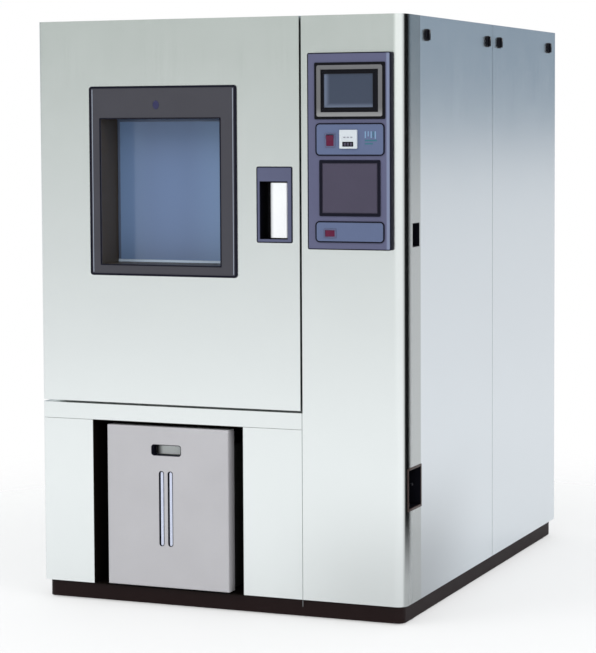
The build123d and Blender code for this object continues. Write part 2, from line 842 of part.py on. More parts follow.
def cable_port_sleeve():
    y, z = port_axis()
    start = x_left - port_flange
    sleeve = along_x(x_left, y, z, port_radius + port_wall, chamber_x[0] - x_left)
    sleeve = sleeve + along_x(start, y, z, port_flange_radius, port_flange)
    return sleeve - along_x(start - 1.0, y, z, port_radius, chamber_x[0] - start + 2.0)


def cable_port_plug():
    y, z = port_axis()
    start = x_left - port_flange
    plug = along_x(start, y, z, port_radius - slide_clearance, chamber_x[0] - start)
    head = along_x(start - plug_head, y, z, port_radius + 6.0, plug_head)
    return fillet((plug + head).edges().group_by(Axis.X)[0], 2.0)


def electrical_box():
    width, depth, height = electrical_size
    y = cover_back + 130.0
    z = (chamber_z[0] + 120.0, chamber_z[0] + 120.0 + height)
    box = block((foam_x[1], foam_x[1] + width), (y, y + depth), z)
    lid = block((foam_x[1] + width, foam_x[1] + width + 2.0), grow((y, y + depth), 6.0), grow(z, 6.0))
    return fillet((box + lid).edges().filter_by(Axis.X), 2.0)


def cable_gland():
    # Threaded gland body with a hexagon, for the supply cable
    x = x_right - 120.0
    z = panel_floor + 60.0
    profile = Polyline(
        (0, -12.0), (gland_radius - 3.0, -12.0), (gland_radius - 3.0, 0), (gland_radius, 0),
        (gland_radius, 8.0), (gland_radius - 2.0, gland_length), (0, gland_length), close=True,
    )
    body = revolve(Plane.XY * make_face(profile), Axis.Y)
    hexagon = Pos(0, 2.0, 0) * Rot(-90, 0, 0) * extrude(RegularPolygon(gland_radius + 3.0, 6), 7.0)
    bore = along_y(0, -13.0, 0, gland_bore, gland_length + 14.0)
    return Pos(x, y_back, z) * (body + hexagon - bore)


def drain_outlet():
    # A barbed hose stub in the rear panel
    x = x_left + 120.0
    z = panel_floor + 40.0
    stub = along_y(0, -40.0, 0, drain_radius, drain_length + 40.0)
    flange = along_y(0, 0, 0, drain_radius + 8.0, 3.0)
    bore = along_y(0, -38.0, 0, drain_bore, drain_length + 40.0)
    return Pos(x, y_back, z) * (stub + flange - bore)


def door_block(grow_by):
    x = grow((x_left, door_right), grow_by)
    body = block(x, (y_front - grow_by, slab_back), grow((door_bottom, cabinet_height), grow_by))
    return round_posts(body, left_radius + grow_by, 0)


def tunnel(grow_by, y):
    return block(grow(window_x, grow_by), y, grow(window_z, grow_by))


def cup(grow_by, y):
    return block(grow(cup_x, grow_by), y, grow(cup_z, grow_by))


def plug_spans(grow_by):
    return grow(chamber_x, grow_by - plug_clearance), grow(chamber_z, grow_by - plug_clearance)


def keeper_pocket(y):
    reach = hook_arm + keeper_base_radius
    return block(
        (keeper_x - reach, door_right - sheet), y, (keeper_z - reach / 2, keeper_z + reach + 6.0)
    )


def door_shell():
    shell = door_block(0.0) - door_block(-sheet)
    shell = shell - block((x_left + sheet, door_right - sheet), (slab_back - 4 * sheet, slab_back + 1.0),
                          (door_bottom + sheet, cabinet_height - sheet))
    shell = shell - tunnel(tunnel_wall, (y_front - 1.0, y_front + 10.0))
    return shell - cup(sheet, (y_front - 1.0, y_front + 10.0))


def door_core():
    x, z = plug_spans(-sheet)
    core = door_block(-sheet) & block(
        (x_left, door_right), (y_front, slab_back - sheet), (door_bottom, cabinet_height)
    )
    plug = block(x, (slab_back - sheet, plug_back - sheet), z)
    core = core + fillet(plug.edges().filter_by(Axis.Y), plug_radius - sheet)
    core = core - tunnel(tunnel_wall, (y_front - 1.0, plug_back + 1.0))
    core = core - cup(sheet, (y_front - 1.0, cup_back))
    return core - keeper_pocket((cup_back, slab_back))


def door_liner():
    # The stainless rear sheet of the door with its stepped plug, drawn from one sheet
    x, z = plug_spans(0.0)
    sheet_y = (slab_back - sheet, slab_back)
    rear = block((x_left + sheet, door_right - sheet), sheet_y, grow((door_bottom, cabinet_height), -sheet))
    plug = block(x, (slab_back - sheet, plug_back), z)
    plug = fillet(plug.edges().filter_by(Axis.Y), plug_radius)
    inner_x, inner_z = plug_spans(-sheet)
    hollow = block(inner_x, (slab_back - 3 * sheet, plug_back - sheet), inner_z)
    hollow = fillet(hollow.edges().filter_by(Axis.Y), plug_radius - sheet)
    liner = rear + plug - hollow - tunnel(tunnel_wall, (y_front, plug_back + 1.0))
    opening = rounded_plate(
        (keeper_x - keeper_head_radius - 5.0, keeper_x + keeper_head_radius + 5.0),
        grow(sheet_y, 1.0),
        (keeper_z - keeper_head_radius - 5.0, keeper_z + keeper_head_radius + 5.0),
        keeper_head_radius,
    )
    return liner - opening


def window_frame():
    flange = rounded_plate(window_flange_x, (y_front - window_proud, y_front), window_flange_z, 4.0)
    flange = fillet(flange.edges().group_by(Axis.Y)[0], 1.2)
    frame = flange + tunnel(tunnel_wall, (y_front, plug_back))
    return frame - tunnel(0.0, (y_front - window_proud - 1.0, plug_back + 1.0))


def window_panes():
    first = y_front + pane_setback
    second = first + pane_thickness + pane_gap
    return [tunnel(0.0, (y, y + pane_thickness)) for y in (first, second)]


def door_gasket():
    inner_x = grow(chamber_x, gasket_from_mouth)
    inner_z = grow(chamber_z, gasket_from_mouth)
    y = (slab_back, frame_front - gasket_clearance)
    outside = rounded_plate(grow(inner_x, gasket_width), y, grow(inner_z, gasket_width), gasket_width + 8.0)
    inside = rounded_plate(inner_x, grow(y, 1.0), inner_z, 8.0)
    return outside - inside


def handle_cup():
    flange = rounded_plate(handle_x, (y_front - handle_proud, y_front), handle_z, 3.0)
    body = flange + cup(sheet, (y_front, cup_back))
    body = body - cup(0.0, (y_front - handle_proud - 1.0, cup_back - sheet))
    pin_x = cup_x[1] - paddle_hub_radius - 1.0
    pin_y = y_front + paddle_hub_radius + 1.0
    pin = Pos(pin_x, pin_y, (cup_z[0] + cup_z[1]) / 2) * Cylinder(paddle_pin_radius, cup_z[1] - cup_z[0] + sheet)
    pivot = along_y(keeper_x - hook_arm, cup_back - sheet / 2, keeper_z, hook_pin_radius, hook_plane()[1] - cup_back + 2.0)
    return body + pin + pivot


def handle_paddle():
    # A curled plate on a long hub, its free edge towards the hinges of the door
    pin_x = cup_x[1] - paddle_hub_radius - 1.0
    pin_y = y_front + paddle_hub_radius + 1.0
    low = cup_z[0] + paddle_end_gap
    high = cup_z[1] - paddle_end_gap
    face = pin_y - paddle_hub_radius
    free = pin_x - paddle_width
    curl = 5.0
    plan = [
        Line((pin_x, face), (free + curl, face)),
        TangentArc((free + curl, face), (free, face + curl), tangent=(-1, 0)),
        Line((free, face + curl), (free, face + 2 * curl)),
        Line((free, face + 2 * curl), (free + paddle_thickness, face + 2 * curl)),
        Line((free + paddle_thickness, face + 2 * curl), (free + paddle_thickness, face + curl)),
        Line((free + paddle_thickness, face + curl), (free + curl, face + paddle_thickness)),
        Line((free + curl, face + paddle_thickness), (pin_x, face + paddle_thickness)),
        Line((pin_x, face + paddle_thickness), (pin_x, face)),
    ]
    plate = Pos(0, 0, low) * extrude(make_face(plan), high - low)
    hub = Pos(pin_x, pin_y, (low + high) / 2) * Cylinder(paddle_hub_radius, high - low)
    bore = Pos(pin_x, pin_y, (low + high) / 2) * Cylinder(paddle_pin_radius + pin_clearance, high - low + 2.0)
    return plate + hub - bore


def hook_plane():
    # The hook turns behind the keeper's head, in this span of Y
    middle = frame_front - keeper_reach * 0.66
    return middle - hook_thickness / 2, middle + hook_thickness / 2


def latch_hook():
    # A flat claw, drawn latched and then lifted to its rest angle
    low, high = hook_plane()
    neck = keeper_neck_radius + 1.0
    outer = hook_arm + neck + 6.0
    disc = Circle(outer) - Circle(hook_arm - neck - 6.0)
    sector = disc & make_face(Polyline((0, 0), (outer * 2, -outer * 0.28), (outer * 2, outer * 1.0), close=True))
    arm = Pos(hook_arm * 0.42, hook_arm * 0.22) * Rot(0, 0, 24) * RectangleRounded(hook_arm * 1.1, 13.0, 5.0)
    ring = Circle(hook_pin_radius + 5.0)
    slot = Circle(hook_arm + neck) - Circle(hook_arm - neck)
    seat = outer * 2 * (neck + 0.5) / hook_arm
    slot = slot & make_face(Polyline((0, 0), (outer * 2, -outer * 2), (outer * 2, seat), close=True))
    claw = ring + arm + sector - slot - Circle(hook_pin_radius + pin_clearance)
    plate = extrude(claw, high - low)
    lifted = Rot(0, 0, hook_lift) * plate
    return Pos(keeper_x - hook_arm, high, keeper_z) * Rot(90, 0, 0) * lifted


def latch_keeper():
    # A mushroom stud on the front frame
    neck_end = keeper_reach - 6.0
    profile = Polyline(
        (0, 0), (keeper_base_radius, 0), (keeper_base_radius, -3.0), (keeper_neck_radius, -3.0),
        (keeper_neck_radius, -neck_end), (keeper_head_radius, -neck_end),
        (keeper_head_radius - 1.5, -keeper_reach), (0, -keeper_reach), close=True,
    )
    stud = revolve(Plane.XY * make_face(profile), Axis.Y)
    return Pos(keeper_x, frame_front, keeper_z) * stud


def hinge_levels():
    return (door_bottom + hinge_from_end, (door_bottom + cabinet_height) / 2, cabinet_height - hinge_from_end)


def cabinet_hinges():
    solids = []
    for level in hinge_levels():
        z = (level - hinge_height / 2, level + hinge_height / 2)
        leaf = block((x_left - hinge_leaf, x_left), (frame_front, frame_front + hinge_leaf_width), z)
        end = (hinge_height - knuckle_length) / 2 - knuckle_gap
        for low in (z[0], z[1] - end):
            knuckle = Pos(hinge_x, hinge_y, low + end / 2) * Cylinder(knuckle_radius, end)
            tab = block((x_left - hinge_leaf, x_left), (hinge_y, frame_front), (low, low + end))
            leaf = leaf + knuckle + tab
        leaf = leaf + Pos(hinge_x, hinge_y, level) * Cylinder(hinge_pin_radius, hinge_height)
        solids.append(leaf)
    return solids


def door_hinges():
    solids = []
    for level in hinge_levels():
        half = knuckle_length / 2
        z = (level - hinge_height / 2, level + hinge_height / 2)
        leaf = block((x_left - hinge_leaf, x_left), (slab_back - hinge_leaf_width, slab_back - 1.0), z)
        tab = block((x_left - hinge_leaf, x_left), (slab_back - 1.0, hinge_y), (level - half, level + half))
        knuckle = Pos(hinge_x, hinge_y, level) * Cylinder(knuckle_radius, knuckle_length)
        bore = Pos(hinge_x, hinge_y, level) * Cylinder(hinge_pin_radius + pin_clearance, hinge_height)
        solids.append(leaf + tab + knuckle - bore)
    return solids


def tank_fascia():
    front = y_front - fascia_proud
    body = block(fascia_x, (front, fascia_back), fascia_z)
    body = fillet(body.edges().group_by(Axis.Y)[0], fascia_radius)
    left = fascia_x[0] + grip_from_left
    high = fascia_z[1] - grip_from_top
    grip = rounded_plate((left, left + grip_width), (front - 1.0, front + grip_depth), (high - grip_height, high), 8.0)
    body = body - grip
    for offset in groove_from_left:
        left = fascia_x[0] + offset
        low = fascia_z[0] + groove_from_bottom
        groove = rounded_plate(
            (left, left + groove_width), (front - 1.0, front + groove_depth), (low, low + groove_height), groove_width * 0.45
        )
        body = body - groove
    return body


def tank_body():
    x = grow(fascia_x, -tank_inset)
    z = (fascia_z[0] + slide_clearance, fascia_z[0] + slide_clearance + tank_height)
    tank = block(x, (fascia_back, fascia_back + tank_depth), z)
    tank = fillet(tank.edges().filter_by(Axis.Z), tank_radius)
    cap = Pos((x[0] + x[1]) / 2, fascia_back + tank_depth / 3, z[1] + 8.0) * Cylinder(cap_radius, 16.0)
    return tank + fillet(cap.edges().group_by(Axis.Z)[-1], 3.0)


def panel_place(offset, size):
    return at((panel_left, panel_bottom), offset, size)


def control_panel_casing():
    # A shallow hollow casing on the column's front, with cut-outs for what it carries
    x, z = panel_place((0.0, 0.0), (panel_width, panel_height))
    body = rounded_plate(x, (panel_face, y_front), z, panel_radius)
    body = fillet(body.edges().group_by(Axis.Y)[0], 1.5)
    body = body - block(grow(x, -panel_wall), (panel_face + panel_wall, y_front + 1.0), grow(z, -panel_wall))
    front = (panel_face - 1.0, panel_face + panel_wall + 1.0)
    x, z = panel_place(display_offset, display_size)
    body = body - block(grow(x, -6.0), front, grow(z, -6.0))
    for offset, size in ((sub_offset, sub_size), (low_sub_offset, low_sub_size)):
        x, z = panel_place(offset, size)
        body = body - block(grow(x, -8.0), front, grow(z, -8.0))
    return body


def display_bezel():
    x, z = panel_place(display_offset, display_size)
    frame = rounded_plate(x, (panel_face - display_proud, panel_face), z, 3.0)
    frame = fillet(frame.edges().group_by(Axis.Y)[0], 1.2)
    frame = frame + block(grow(x, -6.0), (panel_face, panel_face + 14.0), grow(z, -6.0))
    corner = (x[0], z[0])
    x, z = at(corner, screen_offset, screen_size)
    return frame - block(x, (panel_face - display_proud - 1.0, panel_face + 3.0), z)


def display_screen():
    x, z = panel_place(display_offset, display_size)
    x, z = at((x[0], z[0]), screen_offset, screen_size)
    return block(x, (panel_face + 0.5, panel_face + 3.0), z)


def rocker_spans(offset, size, sub):
    x, z = panel_place(sub, (0.0, 0.0))
    return at((x[0], z[0]), offset, size)


def rocker_pot(x, z, upright):
    # The switch housing: a collar on the sub-panel, a pot behind it and a pin across
    front = panel_face - sub_thickness - 1.5
    pot = block(x, (front, panel_face + rocker_depth), z)
    pot = pot - block(grow(x, -rocker_wall), (front - 1.0, panel_face + rocker_depth - rocker_wall), grow(z, -rocker_wall))
    middle = ((x[0] + x[1]) / 2, panel_face + 2.0, (z[0] + z[1]) / 2)
    length = (x[1] - x[0] if upright else z[1] - z[0]) - rocker_wall
    pin = Cylinder(rocker_pin_radius, length)
    return pot + Pos(*middle) * (Rot(0, 90, 0) * pin if upright else pin)


def rocker_cap(x, z, upright):
    # A shallow V-shaped cap on the pin, drawn level and then tipped to its rest angle
    play = rocker_wall + rocker_play
    wide = (x[1] - x[0]) / 2 - (rocker_wall + 0.4 if upright else play)
    tall = (z[1] - z[0]) / 2 - (play if upright else rocker_wall + 0.4)
    along = tall if upright else wide
    across = wide if upright else tall
    top = -(2.0 + sub_thickness + rocker_proud)
    profile = Polyline(
        (-along, top), (0, top + 1.6), (along, top), (along * 0.92, 0.5), (3.0, 3.5), (-3.0, 3.5),
        (-along * 0.92, 0.5), close=True,
    )
    cap = extrude(make_face(profile), across, both=True)
    cap = cap - Cylinder(rocker_pin_radius + pin_clearance, across * 2 + 2.0)
    middle = Pos((x[0] + x[1]) / 2, panel_face + 2.0, (z[0] + z[1]) / 2)
    if upright:
        return middle * Rot(rocker_tilt, 0, 0) * Rot(0, 90, 0) * cap
    return middle * Rot(0, 0, rocker_tilt) * cap


def switch_subpanels():
    solids = []
    for offset, size in ((sub_offset, sub_size), (low_sub_offset, low_sub_size)):
        x, z = panel_place(offset, size)
        solids.append(rounded_plate(x, (panel_face - sub_thickness, panel_face), z, sub_radius))
    x, z = rocker_spans(rocker_offset, rocker_size, sub_offset)
    solids[0] = solids[0] - block(x, (panel_face - 5.0, panel_face + 1.0), z) + rocker_pot(x, z, True)
    x, z = rocker_spans(protector_offset, protector_size, sub_offset)
    solids[0] = solids[0] - block(grow(x, -2.0), (panel_face - 5.0, panel_face + 1.0), grow(z, -2.0))
    x, z = rocker_spans(low_rocker_offset, low_rocker_size, low_sub_offset)
    solids[1] = solids[1] - block(x, (panel_face - 5.0, panel_face + 1.0), z) + rocker_pot(x, z, False)
    return solids


def overheat_protector():
    x, z = rocker_spans(protector_offset, protector_size, sub_offset)
    face = panel_face - sub_thickness
    front = rounded_plate(x, (face - protector_proud, face), z, 2.0)
    front = fillet(front.edges().group_by(Axis.Y)[0], 1.0)
    proud = face - protector_proud
    window = block((x[0] + 9.0, x[1] - 10.0), (proud - 1.0, proud + 1.0), (z[1] - 29.0, z[1] - 15.0))
    return front - window + block(grow(x, -2.0), (face, panel_face + 16.0), grow(z, -2.0))


def power_rocker():
    x, z = rocker_spans(rocker_offset, rocker_size, sub_offset)
    return rocker_cap(x, z, True)


def lower_switch():
    x, z = rocker_spans(low_rocker_offset, low_rocker_size, low_sub_offset)
    return rocker_cap(x, z, False)


def blank_cover():
    x, z = panel_place(blank_offset, blank_size)
    face = panel_face - blank_proud
    frame = rounded_plate(x, (face, panel_face), z, 3.0)
    step = block(grow(x, -blank_rim), (face - 1.0, face + 1.0), grow(z, -blank_rim))
    plate = block(grow(x, -blank_rim - 2.0), (face, panel_face - 0.5), grow(z, -blank_rim - 2.0))
    return frame - step + plate


def side_latch(y):
    # A quarter-turn knob with a grip bar, a shaft through the skin and a cam behind it
    z = cabinet_height - latch_from_top
    knob = along_x(x_right, y, z, latch_radius, latch_proud * 0.5)
    bar = block(
        (x_right + latch_proud * 0.5, x_right + latch_proud), (y - latch_radius * 0.3, y + latch_radius * 0.3),
        (z - latch_radius * 0.85, z + latch_radius * 0.85),
    )
    bar = fillet(bar.edges().filter_by(Axis.X), latch_radius * 0.25)
    shaft = along_x(x_right - 10.0, y, z, latch_shaft_radius, 10.0)
    cam = block((x_right - 9.0, x_right - 6.0), (y - 6.0, y + 6.0), (z - 7.0, z + latch_cam_length))
    return knob + bar + shaft + cam


parts = {
    "base_frame": base_frame(),
    "plinth_skirt": plinth_skirt(),
    "levelling_feet": levelling_feet(),
    "frame_members": frame_members(),
    "left_side_panels": left_side_panels(),
    "right_side_panels": right_side_panels(),
    "top_panel": top_panel(),
    "rear_panel": rear_panel(),
    "column_cover": column_cover(),
    "breaker_recess": breaker_recess(),
    "breaker_body": breaker_body(),
    "breaker_toggle": breaker_toggle(),
    "side_port_recess": side_port_recess(),
    "lower_front_panels": lower_front_panels(),
    "bay_liner": bay_liner(),
    "front_frame": front_frame(),
    "inner_box": inner_box(),
    "insulation": insulation(),
    "rear_baffle": rear_baffle(),
    "evaporator_coil": evaporator_coil(),
    "heater_coil": heater_coil(),
    "circulation_fan": circulation_fan(),
    "fan_motors": fan_motors(),
    "condenser": condenser(),
    "condenser_fan": condenser_fan(),
    "compressor": compressor(),
    "shelf_rails": shelf_rails(),
    "wire_shelves": wire_shelves(),
    "cable_port_sleeve": cable_port_sleeve(),
    "cable_port_plug": cable_port_plug(),
    "electrical_box": electrical_box(),
    "cable_gland": cable_gland(),
    "drain_outlet": drain_outlet(),
    "door_shell": door_shell(),
    "door_core": door_core(),
    "door_liner": door_liner(),
    "window_frame": window_frame(),
    "window_panes": window_panes(),
    "door_gasket": door_gasket(),
    "handle_cup": handle_cup(),
    "handle_paddle": handle_paddle(),
    "latch_hook": latch_hook(),
    "latch_keeper": latch_keeper(),
    "cabinet_hinges": cabinet_hinges(),
    "door_hinges": door_hinges(),
    "tank_fascia": tank_fascia(),
    "tank_body": tank_body(),
    "control_panel_casing": control_panel_casing(),
    "display_bezel": display_bezel(),
    "display_screen": display_screen(),
    "switch_subpanels": switch_subpanels(),
    "overheat_protector": overheat_protector(),
    "power_rocker": power_rocker(),
    "lower_switch": lower_switch(),
    "blank_cover": blank_cover(),
}
for number, place in enumerate(latch_places(), start=1):
    parts["side_latch_" + str(number)] = side_latch(place)

os.makedirs("parts", exist_ok=True)
for name, shape in parts.items():
    solids = shape if isinstance(shape, list) else [shape]
    whole = Compound(children=[solid for item in solids for solid in item.solids()])
    export_step(whole, "parts/" + name + ".step")
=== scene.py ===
import math

import bmesh
import bpy
from mathutils import Matrix, Vector


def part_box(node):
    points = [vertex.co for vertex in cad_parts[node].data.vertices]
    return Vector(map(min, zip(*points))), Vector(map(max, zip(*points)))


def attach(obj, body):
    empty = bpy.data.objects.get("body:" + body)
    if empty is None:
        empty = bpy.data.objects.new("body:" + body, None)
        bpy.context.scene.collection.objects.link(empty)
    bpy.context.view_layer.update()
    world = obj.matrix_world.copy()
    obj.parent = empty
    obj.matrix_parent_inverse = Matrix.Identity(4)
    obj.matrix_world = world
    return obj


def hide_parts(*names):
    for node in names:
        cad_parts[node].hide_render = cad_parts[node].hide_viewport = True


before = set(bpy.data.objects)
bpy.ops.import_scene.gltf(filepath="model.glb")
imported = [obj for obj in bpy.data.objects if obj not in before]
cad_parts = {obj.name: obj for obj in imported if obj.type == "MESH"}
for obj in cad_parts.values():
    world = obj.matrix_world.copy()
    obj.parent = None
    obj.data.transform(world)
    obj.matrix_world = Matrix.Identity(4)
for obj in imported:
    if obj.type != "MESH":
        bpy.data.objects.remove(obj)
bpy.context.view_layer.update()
print("frame loaded")

# Camera, as the photograph was taken: metres, degrees and pixels of a 596 x 653 picture
cameraView = {
    "place": (2.4308, -6.0653, 1.2903),
    "yaw": 22.284,
    "pitch": -3.621,
    "roll": -0.286,
    "focal": 2238.3,
    "pictureHeight": 653,
    "axisAboveMiddle": 60,
    "sensor": 36.0,
    "farthest": 60,
}


def makeCamera(view):
    yaw, pitch, roll = (math.radians(view[key]) for key in ("yaw", "pitch", "roll"))
    forward = Vector((-math.sin(yaw) * math.cos(pitch), math.cos(yaw) * math.cos(pitch), math.sin(pitch)))
    right = Vector((math.cos(yaw), math.sin(yaw), 0))
    up = right.cross(forward)
    rolledRight = math.cos(roll) * right + math.sin(roll) * up
    rolledUp = math.cos(roll) * up - math.sin(roll) * right
    data = bpy.data.cameras.new("camera")
    data.sensor_width = view["sensor"]
    data.lens = view["focal"] * view["sensor"] / view["pictureHeight"]
    data.shift_y = -view["axisAboveMiddle"] / view["pictureHeight"]
    data.clip_end = view["farthest"]
    camera = bpy.data.objects.new("camera", data)
    turn = Matrix((rolledRight, rolledUp, -forward)).transposed().to_4x4()
    camera.matrix_world = Matrix.Translation(view["place"]) @ turn
    bpy.context.scene.collection.objects.link(camera)
    bpy.context.scene.camera = camera


makeCamera(cameraView)
bpy.context.scene.view_settings.view_transform = "Standard"


# Shader building: a wrapped socket takes Python's operators

class Wire:
    def __init__(self, tree, socket):
        self.tree = tree
        self.socket = socket

    def maths(self, operation, first, second):
        return self.tree.add("ShaderNodeMath", {"operation": operation}, {0: first, 1: second})

    def __add__(self, other):
        return self.maths("ADD", self, other)

    def __radd__(self, other):
        return self.maths("ADD", other, self)

    def __sub__(self, other):
        return self.maths("SUBTRACT", self, other)

    def __rsub__(self, other):
        return self.maths("SUBTRACT", other, self)

    def __mul__(self, other):
        return self.maths("MULTIPLY", self, other)

    def __rmul__(self, other):
        return self.maths("MULTIPLY", other, self)

    def __truediv__(self, other):
        return self.maths("DIVIDE", self, other)


class Tree:
    def __init__(self, nodeTree):
        self.nodeTree = nodeTree

    def add(self, kind, settings=None, inputs=None, output=0):
        node = self.nodeTree.nodes.new(kind)
        for key, value in (settings or {}).items():
            if key == "stops":
                self.setStops(node.color_ramp, value)
            else:
                setattr(node, key, value)
        for key, value in (inputs or {}).items():
            self.feed(node.inputs[key], value)
        return Wire(self, node.outputs[output])

    def feed(self, socket, value):
        if isinstance(value, Wire):
            self.nodeTree.links.new(value.socket, socket)
        elif socket.type == "RGBA" and len(value) == 3:
            socket.default_value = (*value, 1)
        else:
            socket.default_value = value

    def setStops(self, ramp, stops):
        for index, (place, shade) in enumerate(stops):
            element = ramp.elements[index] if index < 2 else ramp.elements.new(place)
            element.position = place
            element.color = (*shade, 1)

    def place(self, stretch=(1, 1, 1)):
        spot = self.add("ShaderNodeTexCoord", output="Object")
        return self.add("ShaderNodeMapping", {}, {"Vector": spot, "Scale": stretch})

    def axis(self, index):
        spot = self.add("ShaderNodeTexCoord", output="Object")
        return self.add("ShaderNodeSeparateXYZ", {}, {0: spot}, index)

    def noise(self, scale, stretch=(1, 1, 1), detail=3.0, roughness=0.5):
        inputs = {"Vector": self.place(stretch), "Scale": scale, "Detail": detail, "Roughness": roughness}
        return self.add("ShaderNodeTexNoise", {}, inputs)

    def span(self, value, low, high):
        # 0 below low, 1 above high, smooth between
        settings = {"interpolation_type": "SMOOTHSTEP"}
        return self.add("ShaderNodeMapRange", settings, {"Value": value, "From Min": low, "From Max": high})

    def blendColour(self, factor, first, second):
        return self.add("ShaderNodeMix", {"data_type": "RGBA"}, {0: factor, 6: first, 7: second}, 2)

    def bump(self, height, strength, distance):
        return self.add("ShaderNodeBump", {}, {"Height": height, "Strength": strength, "Distance": distance})

    def lightPath(self, output):
        return self.add("ShaderNodeLightPath", output=output)


def finish(name, build):
    # A material whose build function gives the sockets of one Principled shader
    material = bpy.data.materials.new(name)
    material.use_nodes = True
    tree = Tree(material.node_tree)
    shader = material.node_tree.nodes["Principled BSDF"]
    for key, value in build(tree).items():
        tree.feed(shader.inputs[key], value)
    return material


def tint(colour, amount):
    return [min(1, part * amount) for part in colour]


def zone(strength, *fades):
    # A mask: each fade is (axis, where it is 0, where it is 1) in metres, and their product is scaled
    def build(tree):
        mask = strength
        for index, start, end in fades:
            mask = tree.span(tree.axis(index), start, end) * mask
        return mask
    return build


def addZones(tree, names):
    total = zoneTable[names[0]](tree)
    for name in names[1:]:
        total = total + zoneTable[name](tree)
    return total


zoneTable = {
    # Painted shade: the lower right of the front, where the floor's shade falls
    "paintedShadeLowRight": zone(0.4, (0, 0.1, 0.45), (2, 0.4, 0.05)),
    # Painted shade: the right side near its front and bottom
    "paintedShadeLowSide": zone(0.8, (1, 0.0, -0.62), (2, 0.45, 0.1)),
    # Painted dark reflection: the column cover's side flange
    "paintedReflectionColumnFlange": zone(0.8, (0, 0.514, 0.522)),
    # Painted shade: surfaces set back behind the front, in the window's reveal and the handle's cup
    "recess": zone(1, (1, -0.701, -0.697)),
    # Painted shade: the left part of the handle's paddle, under the cup's wall
    "paintedShadePaddleLeft": zone(1, (0, 0.166, 0.148)),
    # Painted highlight: a paler strip along the casing's right edge
    "paintedHighlightCasingRight": zone(1, (0, 0.484, 0.488)),
    "bandLow": zone(1, (2, 1.335, 1.31)),
    # Painted shade: the left part of the grip's back plate, under the cup's wall
    "paintedShadeGripLeft": zone(1, (0, -0.168, -0.186)),
    # Painted highlights: the glass spacer along the pane's right and lower edges
    "paintedHighlightPaneRight": zone(1, (0, 0.0, 0.004)),
    "paintedHighlightPaneLow": zone(1, (2, 0.93, 0.924)),
}

# Satin sheet: brushed grain, slow waves of the sheet, faint handling marks, and painted shade darkening the
# zones it is given
sheetLook = {
    "grainDetail": 4.0,
    "grainRoughness": 0.6,
    "waveScale": 1.6,
    "waveStretch": (1, 1, 0.6),
    "smudgeScale": 7.0,
    "smudgeDetail": 5.0,
    "smudgeRoughness": 0.62,
    "tints": (0.94, 1.04),
    "shadowTint": 0.5,
    "roughnessShift": -0.05,
    "grainRough": 0.06,
    "smudgeRough": 0.05,
    "grainHeight": 0.003,
    "bump": (0.3, 0.01),
}


def brushed(name, colour, roughness, grain=(260, 260, 3), wave=0.25, paintedShade=()):
    look = sheetLook

    def build(tree):
        fine = tree.noise(1.0, grain, look["grainDetail"], look["grainRoughness"])
        slow = tree.noise(look["waveScale"], look["waveStretch"], 2.0)
        smudge = tree.noise(look["smudgeScale"], (1, 1, 1), look["smudgeDetail"], look["smudgeRoughness"])
        dark, pale = (tint(colour, amount) for amount in look["tints"])
        shade = tree.blendColour(fine * 0.5 + smudge * 0.5, dark, pale)
        # Painted shade: the colour darkens towards a half-bright tint where the given zones lie
        if paintedShade:
            shade = tree.blendColour(addZones(tree, paintedShade), shade, tint(colour, look["shadowTint"]))
        rough = roughness + look["roughnessShift"] + look["grainRough"] * fine + look["smudgeRough"] * smudge
        normal = tree.bump(slow * wave + fine * look["grainHeight"], *look["bump"])
        return {"Base Color": shade, "Metallic": 1.0, "Roughness": rough, "Normal": normal}
    return finish(name, build)


# Paint or moulded plastic: fine texture, slow shade changes, and another colour where its zones lie
mouldedLook = {
    "broadScale": 9.0,
    "broadDetail": 4.0,
    "darkest": 0.86,
    "fineShare": 0.35,
    "roughnessShift": -0.07,
    "broadRough": 0.1,
    "fineRough": 0.04,
    "bump": (0.12, 0.001),
}


def moulded(name, colour, roughness=0.45, grain=900, gloss=0.25, worn=1.14, other=None, where=()):
    look = mouldedLook

    def build(tree):
        fine = tree.noise(grain, (1, 1, 1), 2.0)
        broad = tree.noise(look["broadScale"], (1, 1, 1), look["broadDetail"])
        blend = fine * look["fineShare"] + broad * (1 - look["fineShare"])
        shade = tree.blendColour(blend, tint(colour, look["darkest"]), tint(colour, worn))
        if where:
            shade = tree.blendColour(addZones(tree, where), shade, other)
        rough = roughness + look["roughnessShift"] + look["broadRough"] * broad + look["fineRough"] * fine
        return {"Base Color": shade, "Roughness": rough, "Specular IOR Level": gloss,
                "Normal": tree.bump(fine, *look["bump"])}
    return finish(name, build)


# Coated multi-layer glass: blue over a dark chamber, with painted light making it paler towards its sides
paneLook = {
    "middle": -0.18,
    "sides": (0.04, 0.18),
    "colours": ((0.122, 0.188, 0.345), (0.18, 0.285, 0.49)),
    "cloudScale": 3.0,
    "cloudShare": 0.1,
    "roughness": (0.1, 0.06),
    "coat": (0.3, 0.1),
}


def paneFinish(tree):
    look = paneLook
    cloud = tree.noise(look["cloudScale"], (1, 1, 1), 2.0)
    middle = tree.add("ShaderNodeMath", {"operation": "ABSOLUTE"}, {0: tree.axis(0) - look["middle"]})
    # Painted light: paler away from the middle, towards the sides
    edge = tree.span(middle, *look["sides"]) * (1 - look["cloudShare"])
    shade = tree.blendColour(edge + cloud * look["cloudShare"], *look["colours"])
    rough, coat = (base + cloud * change for base, change in (look["roughness"], look["coat"]))
    return {"Base Color": shade, "Roughness": rough, "Coat Weight": coat}


# A dark teal screen, with a painted glow near its left and lower edges
screenLook = {
    "left": (0.334, 0.313),
    "low": (1.347, 1.331),
    "colours": ((0.028, 0.04, 0.075), (0.17, 0.21, 0.31)),
    "speckScale": 1500.0,
    "paintedGlowShare": 0.8,
    "speckShare": 0.06,
    "roughness": (0.12, 0.05),
    "coat": (0.4, 0.1),
}


